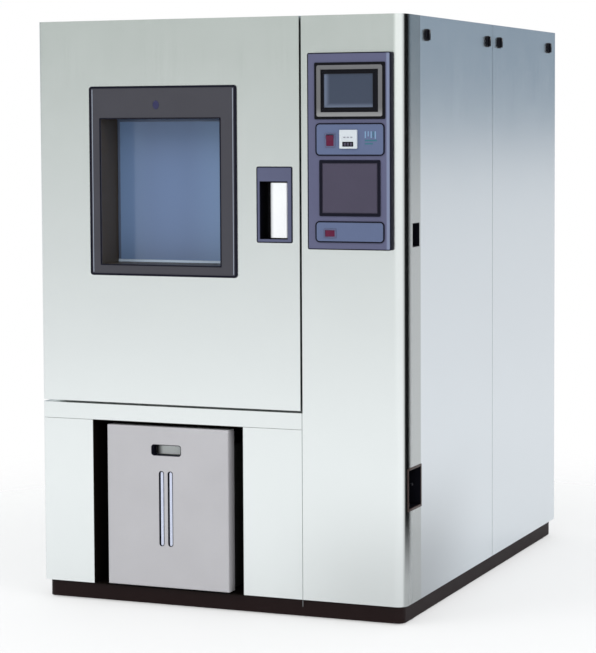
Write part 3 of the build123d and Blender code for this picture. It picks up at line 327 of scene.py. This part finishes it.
def screenFinish(tree):
    look = screenLook
    left, low = tree.span(tree.axis(0), *look["left"]), tree.span(tree.axis(2), *look["low"])
    speck = tree.noise(look["speckScale"], (1, 1, 1), 1.0)
    # Painted glow: paler near the left and lower edges
    rim = tree.add("ShaderNodeMath", {"operation": "MAXIMUM"}, {0: left, 1: low})
    shade = tree.blendColour(rim * look["paintedGlowShare"] + speck * look["speckShare"], *look["colours"])
    rough, coat = (base + speck * change for base, change in (look["roughness"], look["coat"]))
    return {"Base Color": shade, "Roughness": rough, "Coat Weight": coat}


materialTable = {
    # Painted shade darkens the lower right of the front
    "stainless": brushed("stainless", (0.83, 0.86, 0.855), 0.22, paintedShade=["paintedShadeLowRight"]),
    # Painted shade: the right side's stainless is a darker, bluer copy of the front's, for its dimmer
    # reflections
    "stainlessPaintedSideShade": brushed("stainlessPaintedSideShade", (0.77, 0.81, 0.845), 0.22, paintedShade=["paintedShadeLowSide"]),
    # Painted shade on the front's lower right and a painted dark reflection on the side flange
    "stainlessColumn": brushed("stainlessColumn", (0.83, 0.86, 0.855), 0.22,
                               paintedShade=["paintedShadeLowRight", "paintedReflectionColumnFlange"]),
    "stainlessInside": brushed("stainlessInside", (0.72, 0.73, 0.73), 0.22, (3, 260, 260), 0.1),
    "steelParts": brushed("steelParts", (0.55, 0.56, 0.57), 0.35, (90, 90, 90), 0.05),
    "coilMetal": brushed("coilMetal", (0.7, 0.7, 0.7), 0.35, (200, 20, 20), 0.1),
    "brass": brushed("brass", (0.72, 0.52, 0.22), 0.28, (60, 60, 60), 0.05),
    # Painted shade: darker on the paddle's left part
    "polished": moulded("polished", (0.9, 0.91, 0.95), 0.25, 500, 0.5, 1.1, (0.1, 0.1, 0.12), ["paintedShadePaddleLeft"]),
    # Painted highlight: the colour of the window's two pale beads
    "beadPaintedHighlight": moulded("beadPaintedHighlight", (0.3, 0.33, 0.4), 0.35),
    # Painted highlight: the dark spacer turns pale along its right and lower edges
    "spacerPaintedHighlight": moulded("spacerPaintedHighlight", (0.09, 0.12, 0.19), 0.35, worn=1.1, other=(0.62, 0.74, 0.9),
                        where=["paintedHighlightPaneRight", "paintedHighlightPaneLow"]),
    "plinth": moulded("plinth", (0.013, 0.006, 0.006), 0.55, gloss=0.12),
    "bayDark": moulded("bayDark", (0.006, 0.004, 0.003), 0.6, gloss=0.08),
    # Painted shade: a browner, darker tone in the window's reveal
    "windowTrim": moulded("windowTrim", (0.055, 0.054, 0.066), 0.4, 700, other=(0.055, 0.044, 0.034),
                          where=["recess"]),
    # Painted shade: black inside the handle's cup
    "handleTrim": moulded("handleTrim", (0.1, 0.108, 0.185), 0.4, 700, other=(0.003, 0.003, 0.006),
                          where=["recess"]),
    "capBlue": moulded("capBlue", (0.03, 0.03, 0.085), 0.35),
    # Painted highlight: paler along the casing's right edge
    "panelBlue": moulded("panelBlue", (0.108, 0.112, 0.195), 0.42, worn=1.1, other=(0.2, 0.23, 0.35),
                         where=["paintedHighlightCasingRight"]),
    "subBlue": moulded("subBlue", (0.108, 0.138, 0.245), 0.38),
    "blackPlastic": moulded("blackPlastic", (0.004, 0.004, 0.007), 0.42, gloss=0.12),
    "darkEdge": moulded("darkEdge", (0.005, 0.005, 0.013), 0.5, gloss=0.12),
    "paleTrim": moulded("paleTrim", (0.15, 0.15, 0.157), 0.35, worn=1.1, other=(0.27, 0.27, 0.275),
                        where=["bandLow"]),
    "coverGrey": moulded("coverGrey", (0.064, 0.056, 0.09), 0.32),
    "unitWhite": moulded("unitWhite", (0.6, 0.64, 0.68), 0.38),
    "unitGrey": moulded("unitGrey", (0.3, 0.31, 0.36), 0.38),
    "switchRed": moulded("switchRed", (0.1, 0.006, 0.035), 0.3, 300),
    # Partly painted shade: the breaker's own dark colour, tinted brown like the shade beside it
    "breakerBrownPaintedShade": moulded("breakerBrownPaintedShade", (0.06, 0.04, 0.036)),
    "tankGrey": moulded("tankGrey", (0.51, 0.5, 0.522), 0.4, 600, worn=1.04),
    # Painted shade: the tank's body, near black where the bay's shade falls on it
    "tankPaintedShade": moulded("tankPaintedShade", (0.05, 0.05, 0.045), 0.5, 600, 0.15),
    "sightBlue": moulded("sightBlue", (0.66, 0.7, 0.86), 0.3, 300, 0.4, 1.05),
    # Partly painted shade: the grip's pale back plate, darkened at its left
    "gripBackPaintedShade": moulded("gripBackPaintedShade", (0.92, 0.97, 0.97), 0.3, 300, 0.4, 1.05, (0.02, 0.02, 0.02),
                         ["paintedShadeGripLeft"]),
    "foam": moulded("foam", (0.8, 0.72, 0.45), 0.8, 200),
    "seamGrey": moulded("seamGrey", (0.2, 0.21, 0.22), 0.5),
    "rubber": moulded("rubber", (0.42, 0.42, 0.43), 0.6),
    "motorGrey": moulded("motorGrey", (0.16, 0.17, 0.18)),
    "markTeal": moulded("markTeal", (0.04, 0.15, 0.2), 0.35, 300),
    "markBlue": moulded("markBlue", (0.2, 0.33, 0.5), 0.35, 300),
    "latchMark": moulded("latchMark", (0.35, 0.36, 0.37), 0.4, 300),
    "pane": finish("pane", paneFinish),
    "screenDark": finish("screenDark", screenFinish),
}

nodeFinish = {
    "stainless": "left_side_panels top_panel rear_panel lower_front_panels front_frame door_shell",
    "stainlessPaintedSideShade": "right_side_panels",
    "stainlessColumn": "column_cover",
    "stainlessInside": "door_liner inner_box rear_baffle shelf_rails wire_shelves cable_port_sleeve",
    "steelParts": """frame_members cabinet_hinges door_hinges latch_hook latch_keeper heater_coil
        circulation_fan levelling_feet""",
    "polished": "handle_paddle",
    "plinth": "base_frame plinth_skirt compressor",
    "bayDark": "bay_liner",
    "windowTrim": "window_frame",
    "handleTrim": "handle_cup",
    "pane": "window_panes",
    "screenDark": "display_screen",
    "panelBlue": "control_panel_casing",
    "subBlue": "switch_subpanels",
    "blackPlastic": """display_bezel side_port_recess breaker_recess cable_gland breaker_toggle side_latch_1
        side_latch_2 side_latch_3 side_latch_4""",
    "coverGrey": "blank_cover",
    "unitWhite": "overheat_protector",
    "breakerBrownPaintedShade": "breaker_body",
    "switchRed": "power_rocker lower_switch",
    "tankGrey": "tank_fascia",
    "tankPaintedShade": "tank_body",
    "foam": "insulation door_core",
    "rubber": "door_gasket cable_port_plug",
    "coilMetal": "evaporator_coil condenser",
    "motorGrey": "fan_motors electrical_box condenser_fan",
    "brass": "drain_outlet",
}
for finishName, names in nodeFinish.items():
    for name in names.split():
        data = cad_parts[name].data
        data.materials.clear()
        data.materials.append(materialTable[finishName])
print("materials set")


# Modelling helpers; spans are (low, high) in metres
samePlace = 1e-6  # points closer than this are one
smallestCorner = 0.0006


def addPiece(form, name, finishName, body, standsFor=None, sharp=35):
    bmesh.ops.remove_doubles(form, verts=form.verts, dist=samePlace)
    bmesh.ops.recalc_face_normals(form, faces=form.faces)
    for face in form.faces:
        face.smooth = True
    mesh = bpy.data.meshes.new(name)
    form.to_mesh(mesh)
    form.free()
    mesh.set_sharp_from_angle(angle=math.radians(sharp))
    mesh.materials.append(materialTable[finishName])
    piece = bpy.data.objects.new(name, mesh)
    bpy.context.scene.collection.objects.link(piece)
    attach(piece, body)
    if standsFor:
        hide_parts(standsFor)


def grow(span, by):
    return (span[0] - by, span[1] + by)


def roundEdges(form, edges, size, segments=2):
    bmesh.ops.bevel(form, geom=edges, offset=size, offset_type="OFFSET", segments=segments, profile=0.5,
                    affect="EDGES", clamp_overlap=True, material=-1)


def addOutline(form, x, y, z, corner, segments, facing=90):
    # One upright face with round corners; facing 90 looks along -Y and -90 along +Y
    verts = bmesh.ops.create_grid(form, x_segments=1, y_segments=1, size=0.5)["verts"]
    bmesh.ops.rotate(form, verts=verts, cent=(0, 0, 0), matrix=Matrix.Rotation(math.radians(facing), 3, "X"))
    bmesh.ops.scale(form, verts=verts, vec=(x[1] - x[0], 1, z[1] - z[0]))
    bmesh.ops.translate(form, verts=verts, vec=((x[0] + x[1]) / 2, y, (z[0] + z[1]) / 2))
    if corner:
        verts = bmesh.ops.bevel(form, geom=verts, offset=corner, offset_type="OFFSET", segments=segments,
                                profile=0.5, affect="VERTICES", clamp_overlap=True, material=-1)["verts"]
    return verts[0].link_faces[0]


def addPlate(form, x, y, z, corner, width, segments):
    # An upright plate, or a frame of the given width, from y[0] in front to y[1] behind
    faces = [addOutline(form, x, y[1], z, corner, segments)]
    if width:
        inner = max(corner - width, smallestCorner) if corner else 0
        faces.append(addOutline(form, grow(x, -width), y[1], grow(z, -width), inner, segments))
        edges = faces[0].edges[:] + faces[1].edges[:]
        bmesh.ops.delete(form, geom=faces, context="FACES_ONLY")
        faces = bmesh.ops.bridge_loops(form, edges=edges)["faces"]
    raised = bmesh.ops.extrude_face_region(form, geom=faces)["geom"]
    lifted = [part for part in raised if isinstance(part, bmesh.types.BMVert)]
    bmesh.ops.translate(form, verts=lifted, vec=(0, y[0] - y[1], 0))


def softenFront(form, y, size):
    form.normal_update()
    front = [edge for edge in form.edges if all(abs(vert.co.y - y) < samePlace for vert in edge.verts)]
    outer = [edge for edge in front if any(abs(face.normal.y) < 0.5 for face in edge.link_faces)]
    roundEdges(form, outer, size)


# Plates and rims: spans are (x, z) pairs, y is (front, back), width leaves only a rim, soft rounds the
# front edges and turn swings the finished piece about the Z axis in degrees
plateDefaults = {
    "corner": 0.0,
    "width": None,
    "soft": 0.0,
    "segments": 5,
    "turn": 0,
    "finish": "darkEdge",
    "body": "cabinet",
    "slot": "black_plastic",
}


def makePlates(table):
    for name, row in table.items():
        values = plateDefaults | row
        form = bmesh.new()
        for x, z in values["spans"]:
            addPlate(form, x, values["y"], z, values["corner"], values["width"], values["segments"])
        if values["soft"]:
            softenFront(form, values["y"][0], values["soft"])
        turn = Matrix.Rotation(math.radians(values["turn"]), 3, "Z")
        bmesh.ops.rotate(form, verts=form.verts, cent=(0, 0, 0), matrix=turn)
        addPiece(form, name, values["finish"], values["body"])


def addLathe(form, profile, radius, place, axis, steps):
    # Turns a profile of (share of the radius, height) round an axis that points outwards
    axis = Vector(axis)
    side = axis.orthogonal().normalized() * radius
    verts = [form.verts.new(Vector(place) + side * share + axis * height) for share, height in profile]
    edges = [form.edges.new(pair) for pair in zip(verts, verts[1:])]
    bmesh.ops.spin(form, geom=verts + edges, cent=place, axis=axis, angle=math.tau, steps=steps,
                   use_merge=True)


# Window: rubber edging, two pale beads as painted highlights on the frame's edges, an inner lip and the glass
# spacer
windowPlates = {
    "windowEdging": {"spans": [((-0.3705, 0.0605), (0.8895, 1.3955))], "y": (-0.7045, -0.7), "corner": 0.008,
                     "width": 0.0055, "soft": 0.0008, "body": "door", "slot": "window_trim"},
    "windowPaintedHighlights": {"spans": [((-0.362, -0.36), (0.898, 1.387)), ((0.05, 0.052), (0.898, 1.387))],
                   "y": (-0.7038, -0.7025), "corner": 0.0006, "finish": "beadPaintedHighlight", "body": "door",
                   "slot": "window_trim"},
    "windowInnerLip": {"spans": [((-0.34, 0.016), (0.917, 1.311))], "y": (-0.7042, -0.702), "corner": 0.002,
                       "width": 0.003, "soft": 0.0004, "body": "door", "slot": "window_trim"},
    # Glass spacer, with painted highlights along its right and lower edges
    "paneSpacer": {"spans": [((-0.3365, 0.0125), (0.9205, 1.3075))], "y": (-0.6036, -0.602), "corner": 0.002,
                   "width": 0.007, "soft": 0.0004, "finish": "spacerPaintedHighlight", "body": "door",
                   "slot": "polished_steel"},
}

# Blank oval cap over the window
capDetail = {
    "place": (-0.172, -0.703, 1.345),
    "radius": 0.0105,
    "steps": 32,
    "oval": (0.9, 1, 1.15),
    "profile": [(0, 0.0026), (0.5, 0.0024), (0.8, 0.0017), (0.95, 0.0007), (1, -0.0005), (0, -0.0005)],
}


def makeCap(values):
    form = bmesh.new()
    addLathe(form, values["profile"], values["radius"], (0, 0, 0), (0, -1, 0), values["steps"])
    bmesh.ops.scale(form, verts=form.verts, vec=values["oval"])
    bmesh.ops.translate(form, verts=form.verts, vec=values["place"])
    addPiece(form, "windowCap", "capBlue", "door")


makePlates(windowPlates)
makeCap(capDetail)

# Door seal: a moulded bulb between two lips, in place of the plain ring; steps are (width, rise)
sealDetail = {
    "corner": 0.026,
    "cornerSegments": 8,
    "sharp": 60,
    "steps": [(0.0015, 0.003), (0.002, 0.0045), (0.003, 0.0025), (0.0035, 0.0006), (0.0035, -0.0006),
              (0.0025, -0.0025), (0.0015, -0.0045), (0.0005, -0.003)],
}


def makeSeal(values):
    low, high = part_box("door_gasket")
    form = bmesh.new()
    face = addOutline(form, (low[0], high[0]), low[1], (low[2], high[2]), values["corner"],
                      values["cornerSegments"], -90)
    form.normal_update()
    for width, rise in values["steps"]:
        bmesh.ops.inset_region(form, faces=[face], thickness=width, depth=rise, use_even_offset=True,
                               use_boundary=True)
    bmesh.ops.delete(form, geom=[face], context="FACES")
    bmesh.ops.bridge_loops(form, edges=[edge for edge in form.edges if edge.is_boundary])
    addPiece(form, "doorSeal", "rubber", "door", "door_gasket", values["sharp"])


makeSeal(sealDetail)

# Handle: dark edging round the cup's flange
handlePlates = {
    "handleEdging": {"spans": [((0.1165, 0.2175), (0.9835, 1.1825))], "y": (-0.7021, -0.7), "corner": 0.005,
                     "width": 0.0028, "soft": 0.0003, "body": "door", "slot": "handle_trim"},
}

makePlates(handlePlates)
print("door pieces made")

# Control panel: casing edge, display band and mask, sub-panel outlines, rocker surrounds, and a cover rim
# that is painted shade in the gap round the blank cover
panelPlates = {
    "panelEdging": {"spans": [((0.2698, 0.4972), (0.9698, 1.4742))], "y": (-0.7248, -0.7), "corner": 0.005,
                    "width": 0.0026, "soft": 0.0005},
    "displayBand": {"spans": [((0.297, 0.476), (1.311, 1.442))], "y": (-0.7292, -0.7265), "corner": 0.005,
                    "width": 0.011, "soft": 0.0008, "finish": "paleTrim", "slot": "panel_plastic"},
    "screenMask": {"spans": [((0.3112, 0.4548), (1.3292, 1.4248))], "y": (-0.7264, -0.7235), "corner": 0.003,
                   "width": 0.005, "soft": 0.0005, "finish": "blackPlastic"},
    "upperOutline": {"spans": [((0.2926, 0.4814), (1.2106, 1.2944))], "y": (-0.7266, -0.7237),
                     "corner": 0.0114, "width": 0.0034, "soft": 0.0003, "segments": 8},
    "lowerOutline": {"spans": [((0.2916, 0.4804), (0.9886, 1.0434))], "y": (-0.7266, -0.7237),
                     "corner": 0.0114, "width": 0.0034, "soft": 0.0003, "segments": 8},
    "powerBezel": {"spans": [((0.3188, 0.3472), (1.2318, 1.2692))], "y": (-0.7276, -0.7255),
                   "corner": 0.002, "width": 0.0022, "soft": 0.0005, "finish": "panelBlue"},
    "lowerBezel": {"spans": [((0.3148, 0.3492), (0.9998, 1.0242))], "y": (-0.7276, -0.7255),
                   "corner": 0.002, "width": 0.0022, "soft": 0.0005, "finish": "panelBlue"},
    # Painted shade: a dark rim in the gap round the blank cover
    "coverPaintedShadeRim": {"spans": [((0.303, 0.47), (1.056, 1.2))], "y": (-0.7266, -0.7256), "corner": 0.003,
                 "width": 0.008, "soft": 0.0003},
}

# The square unit's cover, window, wheels and keys, and the blank marks beside it
unitPlates = {
    "unitCover": {"spans": [((0.3685, 0.3985), (1.2472, 1.2628))], "y": (-0.7314, -0.73), "corner": 0.0015,
                  "soft": 0.0002, "finish": "unitWhite", "slot": "unit_white"},
    "unitWindow": {"spans": [((0.3685, 0.3985), (1.2342, 1.2466))], "y": (-0.7313, -0.7305), "corner": 0.001,
                   "soft": 0.0001, "finish": "blackPlastic"},
    "unitWheels": {"spans": [((0.3727, 0.3783), (1.2366, 1.2444)), ((0.3812, 0.3868), (1.2366, 1.2444)),
                             ((0.3897, 0.3953), (1.2366, 1.2444))],
                   "y": (-0.7318, -0.7309), "corner": 0.001, "finish": "coverGrey"},
    "unitKeys": {"spans": [((0.3715, 0.3775), (1.2565, 1.2595)), ((0.381, 0.387), (1.2565, 1.2595)),
                           ((0.3905, 0.3965), (1.2565, 1.2595))],
                 "y": (-0.7322, -0.7309), "corner": 0.001, "finish": "unitGrey", "slot": "unit_white"},
    "markTicks": {"spans": [((0.428, 0.431), (1.256, 1.273)), ((0.436, 0.4385), (1.26, 1.273)),
                            ((0.444, 0.447), (1.256, 1.273)), ((0.455, 0.458), (1.254, 1.273))],
                  "y": (-0.7264, -0.7257), "corner": 0.0006, "finish": "markBlue", "slot": "panel_plastic"},
    "markBars": {"spans": [((0.428, 0.461), (1.248, 1.2515)), ((0.428, 0.45), (1.24, 1.243)),
                           ((0.45, 0.452), (1.258, 1.273))],
                 "y": (-0.7264, -0.7257), "corner": 0.0006, "finish": "markTeal", "slot": "panel_plastic"},
}

makePlates(panelPlates)
makePlates(unitPlates)
print("control panel pieces made")

# Water tank: strips of the two sight slots, the grip's back plate, and dark linings in the slots and the grip
# as painted shade on their walls
tankPlates = {
    "sightPaintedShadeLining": {"spans": [((-0.17, -0.155), (0.165, 0.368)), ((-0.144, -0.129), (0.165, 0.368))],
                    "y": (-0.7084, -0.698), "corner": 0.0074, "width": 0.0016, "segments": 8, "body": "tank",
                    "slot": "tank_grey"},
    "sightStrips": {"spans": [((-0.165, -0.1564), (0.1666, 0.3664)), ((-0.139, -0.1304), (0.1666, 0.3664))],
                    "y": (-0.7068, -0.698), "corner": 0.0045, "segments": 8, "finish": "sightBlue",
                    "body": "tank", "slot": "tank_grey"},
    "gripPaintedShadeLining": {"spans": [((-0.192, -0.104), (0.409, 0.439))], "y": (-0.7086, -0.68), "corner": 0.008,
                   "width": 0.0014, "soft": 0.0004, "segments": 8, "body": "tank", "slot": "tank_grey"},
    # The grip's back plate carries painted shade at its left
    "gripPlate": {"spans": [((-0.19, -0.106), (0.411, 0.437))], "y": (-0.681, -0.68), "corner": 0.006,
                  "segments": 8, "finish": "gripBackPaintedShade", "body": "tank", "slot": "polished_steel"},
}

makePlates(tankPlates)

# Side latches: a pale mark on each knob's grip bar
latchDetail = {
    "x": 0.5348,
    "y": [-0.525, 0.0, 0.112, 0.622],
    "z": 1.53,
    "size": (0.0006, 0.003, 0.01),
    "soft": 0.0002,
}


def makeLatchMarks(values):
    for index, y in enumerate(values["y"], 1):
        form = bmesh.new()
        bmesh.ops.create_cube(form, size=1)
        bmesh.ops.scale(form, verts=form.verts, vec=values["size"])
        bmesh.ops.translate(form, verts=form.verts, vec=(values["x"], y, values["z"]))
        roundEdges(form, form.edges[:], values["soft"], 1)
        addPiece(form, f"latchMark{index}", "latchMark", f"latch_{index}")


makeLatchMarks(latchDetail)

# The seam beside the column, and a brown frame round the breaker's opening in the right side, partly a frame
# and partly painted shade beside the breaker
sidePlates = {
    "columnSeam": {"spans": [((0.2405, 0.2419), (0.031, 0.541))], "y": (-0.7003, -0.6995),
                   "finish": "seamGrey", "slot": "panel_plastic"},
    "breakerPaintedShadeFrame": {"spans": [((-0.677, -0.571), (0.293, 0.406))], "y": (-0.526, -0.5225), "corner": 0.003,
                     "width": 0.0065, "soft": 0.0005, "turn": 90, "finish": "breakerBrownPaintedShade"},
}

makePlates(sidePlates)

# Pan-head screws along the edges of the rear panel and the top
screwDetail = {
    "radius": 0.0048,
    "steps": 12,
    "profile": [(0, 0.000576), (0.32, 0.000576), (0.34, 0.0024), (0.75, 0.002016), (0.97, 0.00096),
                (1, -0.0003), (0, -0.0003)],
    "rearX": [-0.505, -0.17, 0.17, 0.505],
    "rearY": 0.7,
    "rearZ": [0.065, 0.46, 0.85, 1.24, 1.538],
    "topX": [-0.505, 0.0, 0.505],
    "topY": [-0.55, -0.14, 0.27, 0.68],
    "topZ": 1.571,
}


def rimSpots(first, second):
    ends = (first[0], first[-1]), (second[0], second[-1])
    return [(one, two) for one in first for two in second if one in ends[0] or two in ends[1]]


def makeScrews(values):
    form = bmesh.new()
    spots = [((x, values["rearY"], z), (0, 1, 0)) for x, z in rimSpots(values["rearX"], values["rearZ"])]
    spots += [((x, y, values["topZ"]), (0, 0, 1)) for x, y in rimSpots(values["topX"], values["topY"])]
    for place, axis in spots:
        addLathe(form, values["profile"], values["radius"], place, axis, values["steps"])
    addPiece(form, "panelScrews", "steelParts", "cabinet")


makeScrews(screwDetail)
print("tank, latch and screw pieces made")

# Studio: pale floor, white ground behind, soft sky with two large lamps and a dark card by the column
studio = {
    "background": (1.0, 1.0, 1.0),
    "stageRoughness": 0.7,
    "floorColour": (0.93, 0.935, 0.94),
    "floorCloud": 0.8,
    "floorTint": 0.98,
    "floorSize": 150.0,
    "floorFade": (0.9, 2.6),
    "floorClear": 0.5,
    "around": [(0.0, (0.4, 0.45, 0.5)), (0.17, (0.42, 0.45, 0.46)), (0.36, (0.46, 0.5, 0.47)),
               (0.47, (0.5, 0.54, 0.5)), (0.52, (1.05, 1.08, 1.04)), (0.67, (1.05, 1.07, 1.05)),
               (0.78, (0.85, 0.87, 0.88)), (0.9, (0.3, 0.35, 0.4)), (0.93, (0.26, 0.33, 0.4)),
               (0.97, (0.26, 0.33, 0.4)), (1.0, (0.4, 0.45, 0.5))],
    "ceiling": (0.93, 0.94, 0.95),
    "ceilingRise": (0.16, 0.45),
    "lamps": [((-3.5, -4.5, 4.5), 3.0, 90), ((4.5, -2.5, 4.0), 3.0, 60)],
    "aim": (0, 0, 0.8),
    "cardColour": (0.01, 0.01, 0.01),
    "cardX": 0.531,
    "cardY": (-0.69, -0.625),
    "cardFront": (-0.69, -0.682),
    "cardBack": (-0.654, -0.63),
    "cardZ": (0.0, 1.6),
    "cardFade": (0.08, 0.3),
}


def stageMesh(name, form, material):
    mesh = bpy.data.meshes.new(name)
    form.to_mesh(mesh)
    form.free()
    mesh.materials.append(material)
    thing = bpy.data.objects.new(name, mesh)
    bpy.context.scene.collection.objects.link(thing)


def fadeMaterial(name, colour, factor):
    # A matt surface that the factor's wire turns clear
    material = bpy.data.materials.new(name)
    material.use_nodes = True
    tree = Tree(material.node_tree)
    shader = material.node_tree.nodes["Principled BSDF"]
    tree.feed(shader.inputs["Base Color"], colour(tree))
    tree.feed(shader.inputs["Roughness"], studio["stageRoughness"])
    inputs = {0: factor(tree), 1: Wire(tree, shader.outputs[0]), 2: tree.add("ShaderNodeBsdfTransparent")}
    mixed = tree.add("ShaderNodeMixShader", {}, inputs)
    tree.feed(material.node_tree.nodes["Material Output"].inputs["Surface"], mixed)
    return material


def makeFloor(values):
    def shade(tree):
        paler = values["floorColour"]
        return tree.blendColour(tree.noise(values["floorCloud"]), tint(paler, values["floorTint"]), paler)

    def fade(tree):
        reach = tree.add("ShaderNodeVectorMath", {"operation": "LENGTH"}, {0: tree.place()}, 1)
        clear = tree.span(reach, *values["floorFade"]) * (1 - values["floorClear"]) + values["floorClear"]
        return clear * tree.lightPath("Is Camera Ray")

    form = bmesh.new()
    bmesh.ops.create_grid(form, x_segments=1, y_segments=1, size=values["floorSize"])
    stageMesh("floor", form, fadeMaterial("floorFinish", shade, fade))


def makeCard(values):
    # Only reflections see the card: it draws the dark line down the column's corner
    def fade(tree):
        front, back = (tree.span(tree.axis(1), *values[key]) for key in ("cardFront", "cardBack"))
        dark = tree.span(tree.axis(2), *values["cardFade"]) * front * (1 - back)
        return 1 - dark * tree.lightPath("Is Glossy Ray")

    form = bmesh.new()
    verts = bmesh.ops.create_grid(form, x_segments=1, y_segments=1, size=0.5)["verts"]
    bmesh.ops.rotate(form, verts=verts, cent=(0, 0, 0), matrix=Matrix.Rotation(math.radians(90), 3, "Y"))
    y, z = values["cardY"], values["cardZ"]
    bmesh.ops.scale(form, verts=verts, vec=(1, y[1] - y[0], z[1] - z[0]))
    bmesh.ops.translate(form, verts=verts, vec=(values["cardX"], (y[0] + y[1]) / 2, (z[0] + z[1]) / 2))
    stageMesh("card", form, fadeMaterial("cardFinish", lambda tree: values["cardColour"], fade))


def makeSky(values):
    world = bpy.data.worlds.new("sky")
    bpy.context.scene.world = world
    world.use_nodes = True
    tree = Tree(world.node_tree)
    direction = tree.add("ShaderNodeTexCoord", output="Generated")
    x, y, z = (tree.add("ShaderNodeSeparateXYZ", {}, {0: direction}, index) for index in range(3))
    turn = tree.add("ShaderNodeMath", {"operation": "ARCTAN2"}, {0: x, 1: y * -1})
    around = tree.add("ShaderNodeValToRGB", {"stops": values["around"]}, {0: turn / math.tau + 0.5})
    low = tree.blendColour(tree.span(z, *values["ceilingRise"]), around, values["ceiling"])
    seen = tree.blendColour(tree.lightPath("Is Camera Ray"), low, values["background"])
    tree.feed(world.node_tree.nodes["Background"].inputs["Color"], seen)


def makeLamps(values):
    for place, size, power in values["lamps"]:
        lamp = bpy.data.lights.new("lamp", "AREA")
        lamp.size = size
        lamp.energy = power
        holder = bpy.data.objects.new("lamp", lamp)
        holder.location = place
        holder.visible_glossy = False
        holder.rotation_euler = (Vector(values["aim"]) - Vector(place)).to_track_quat("-Z", "Y").to_euler()
        bpy.context.scene.collection.objects.link(holder)


makeFloor(studio)
makeCard(studio)
makeSky(studio)
makeLamps(studio)
print("studio set")
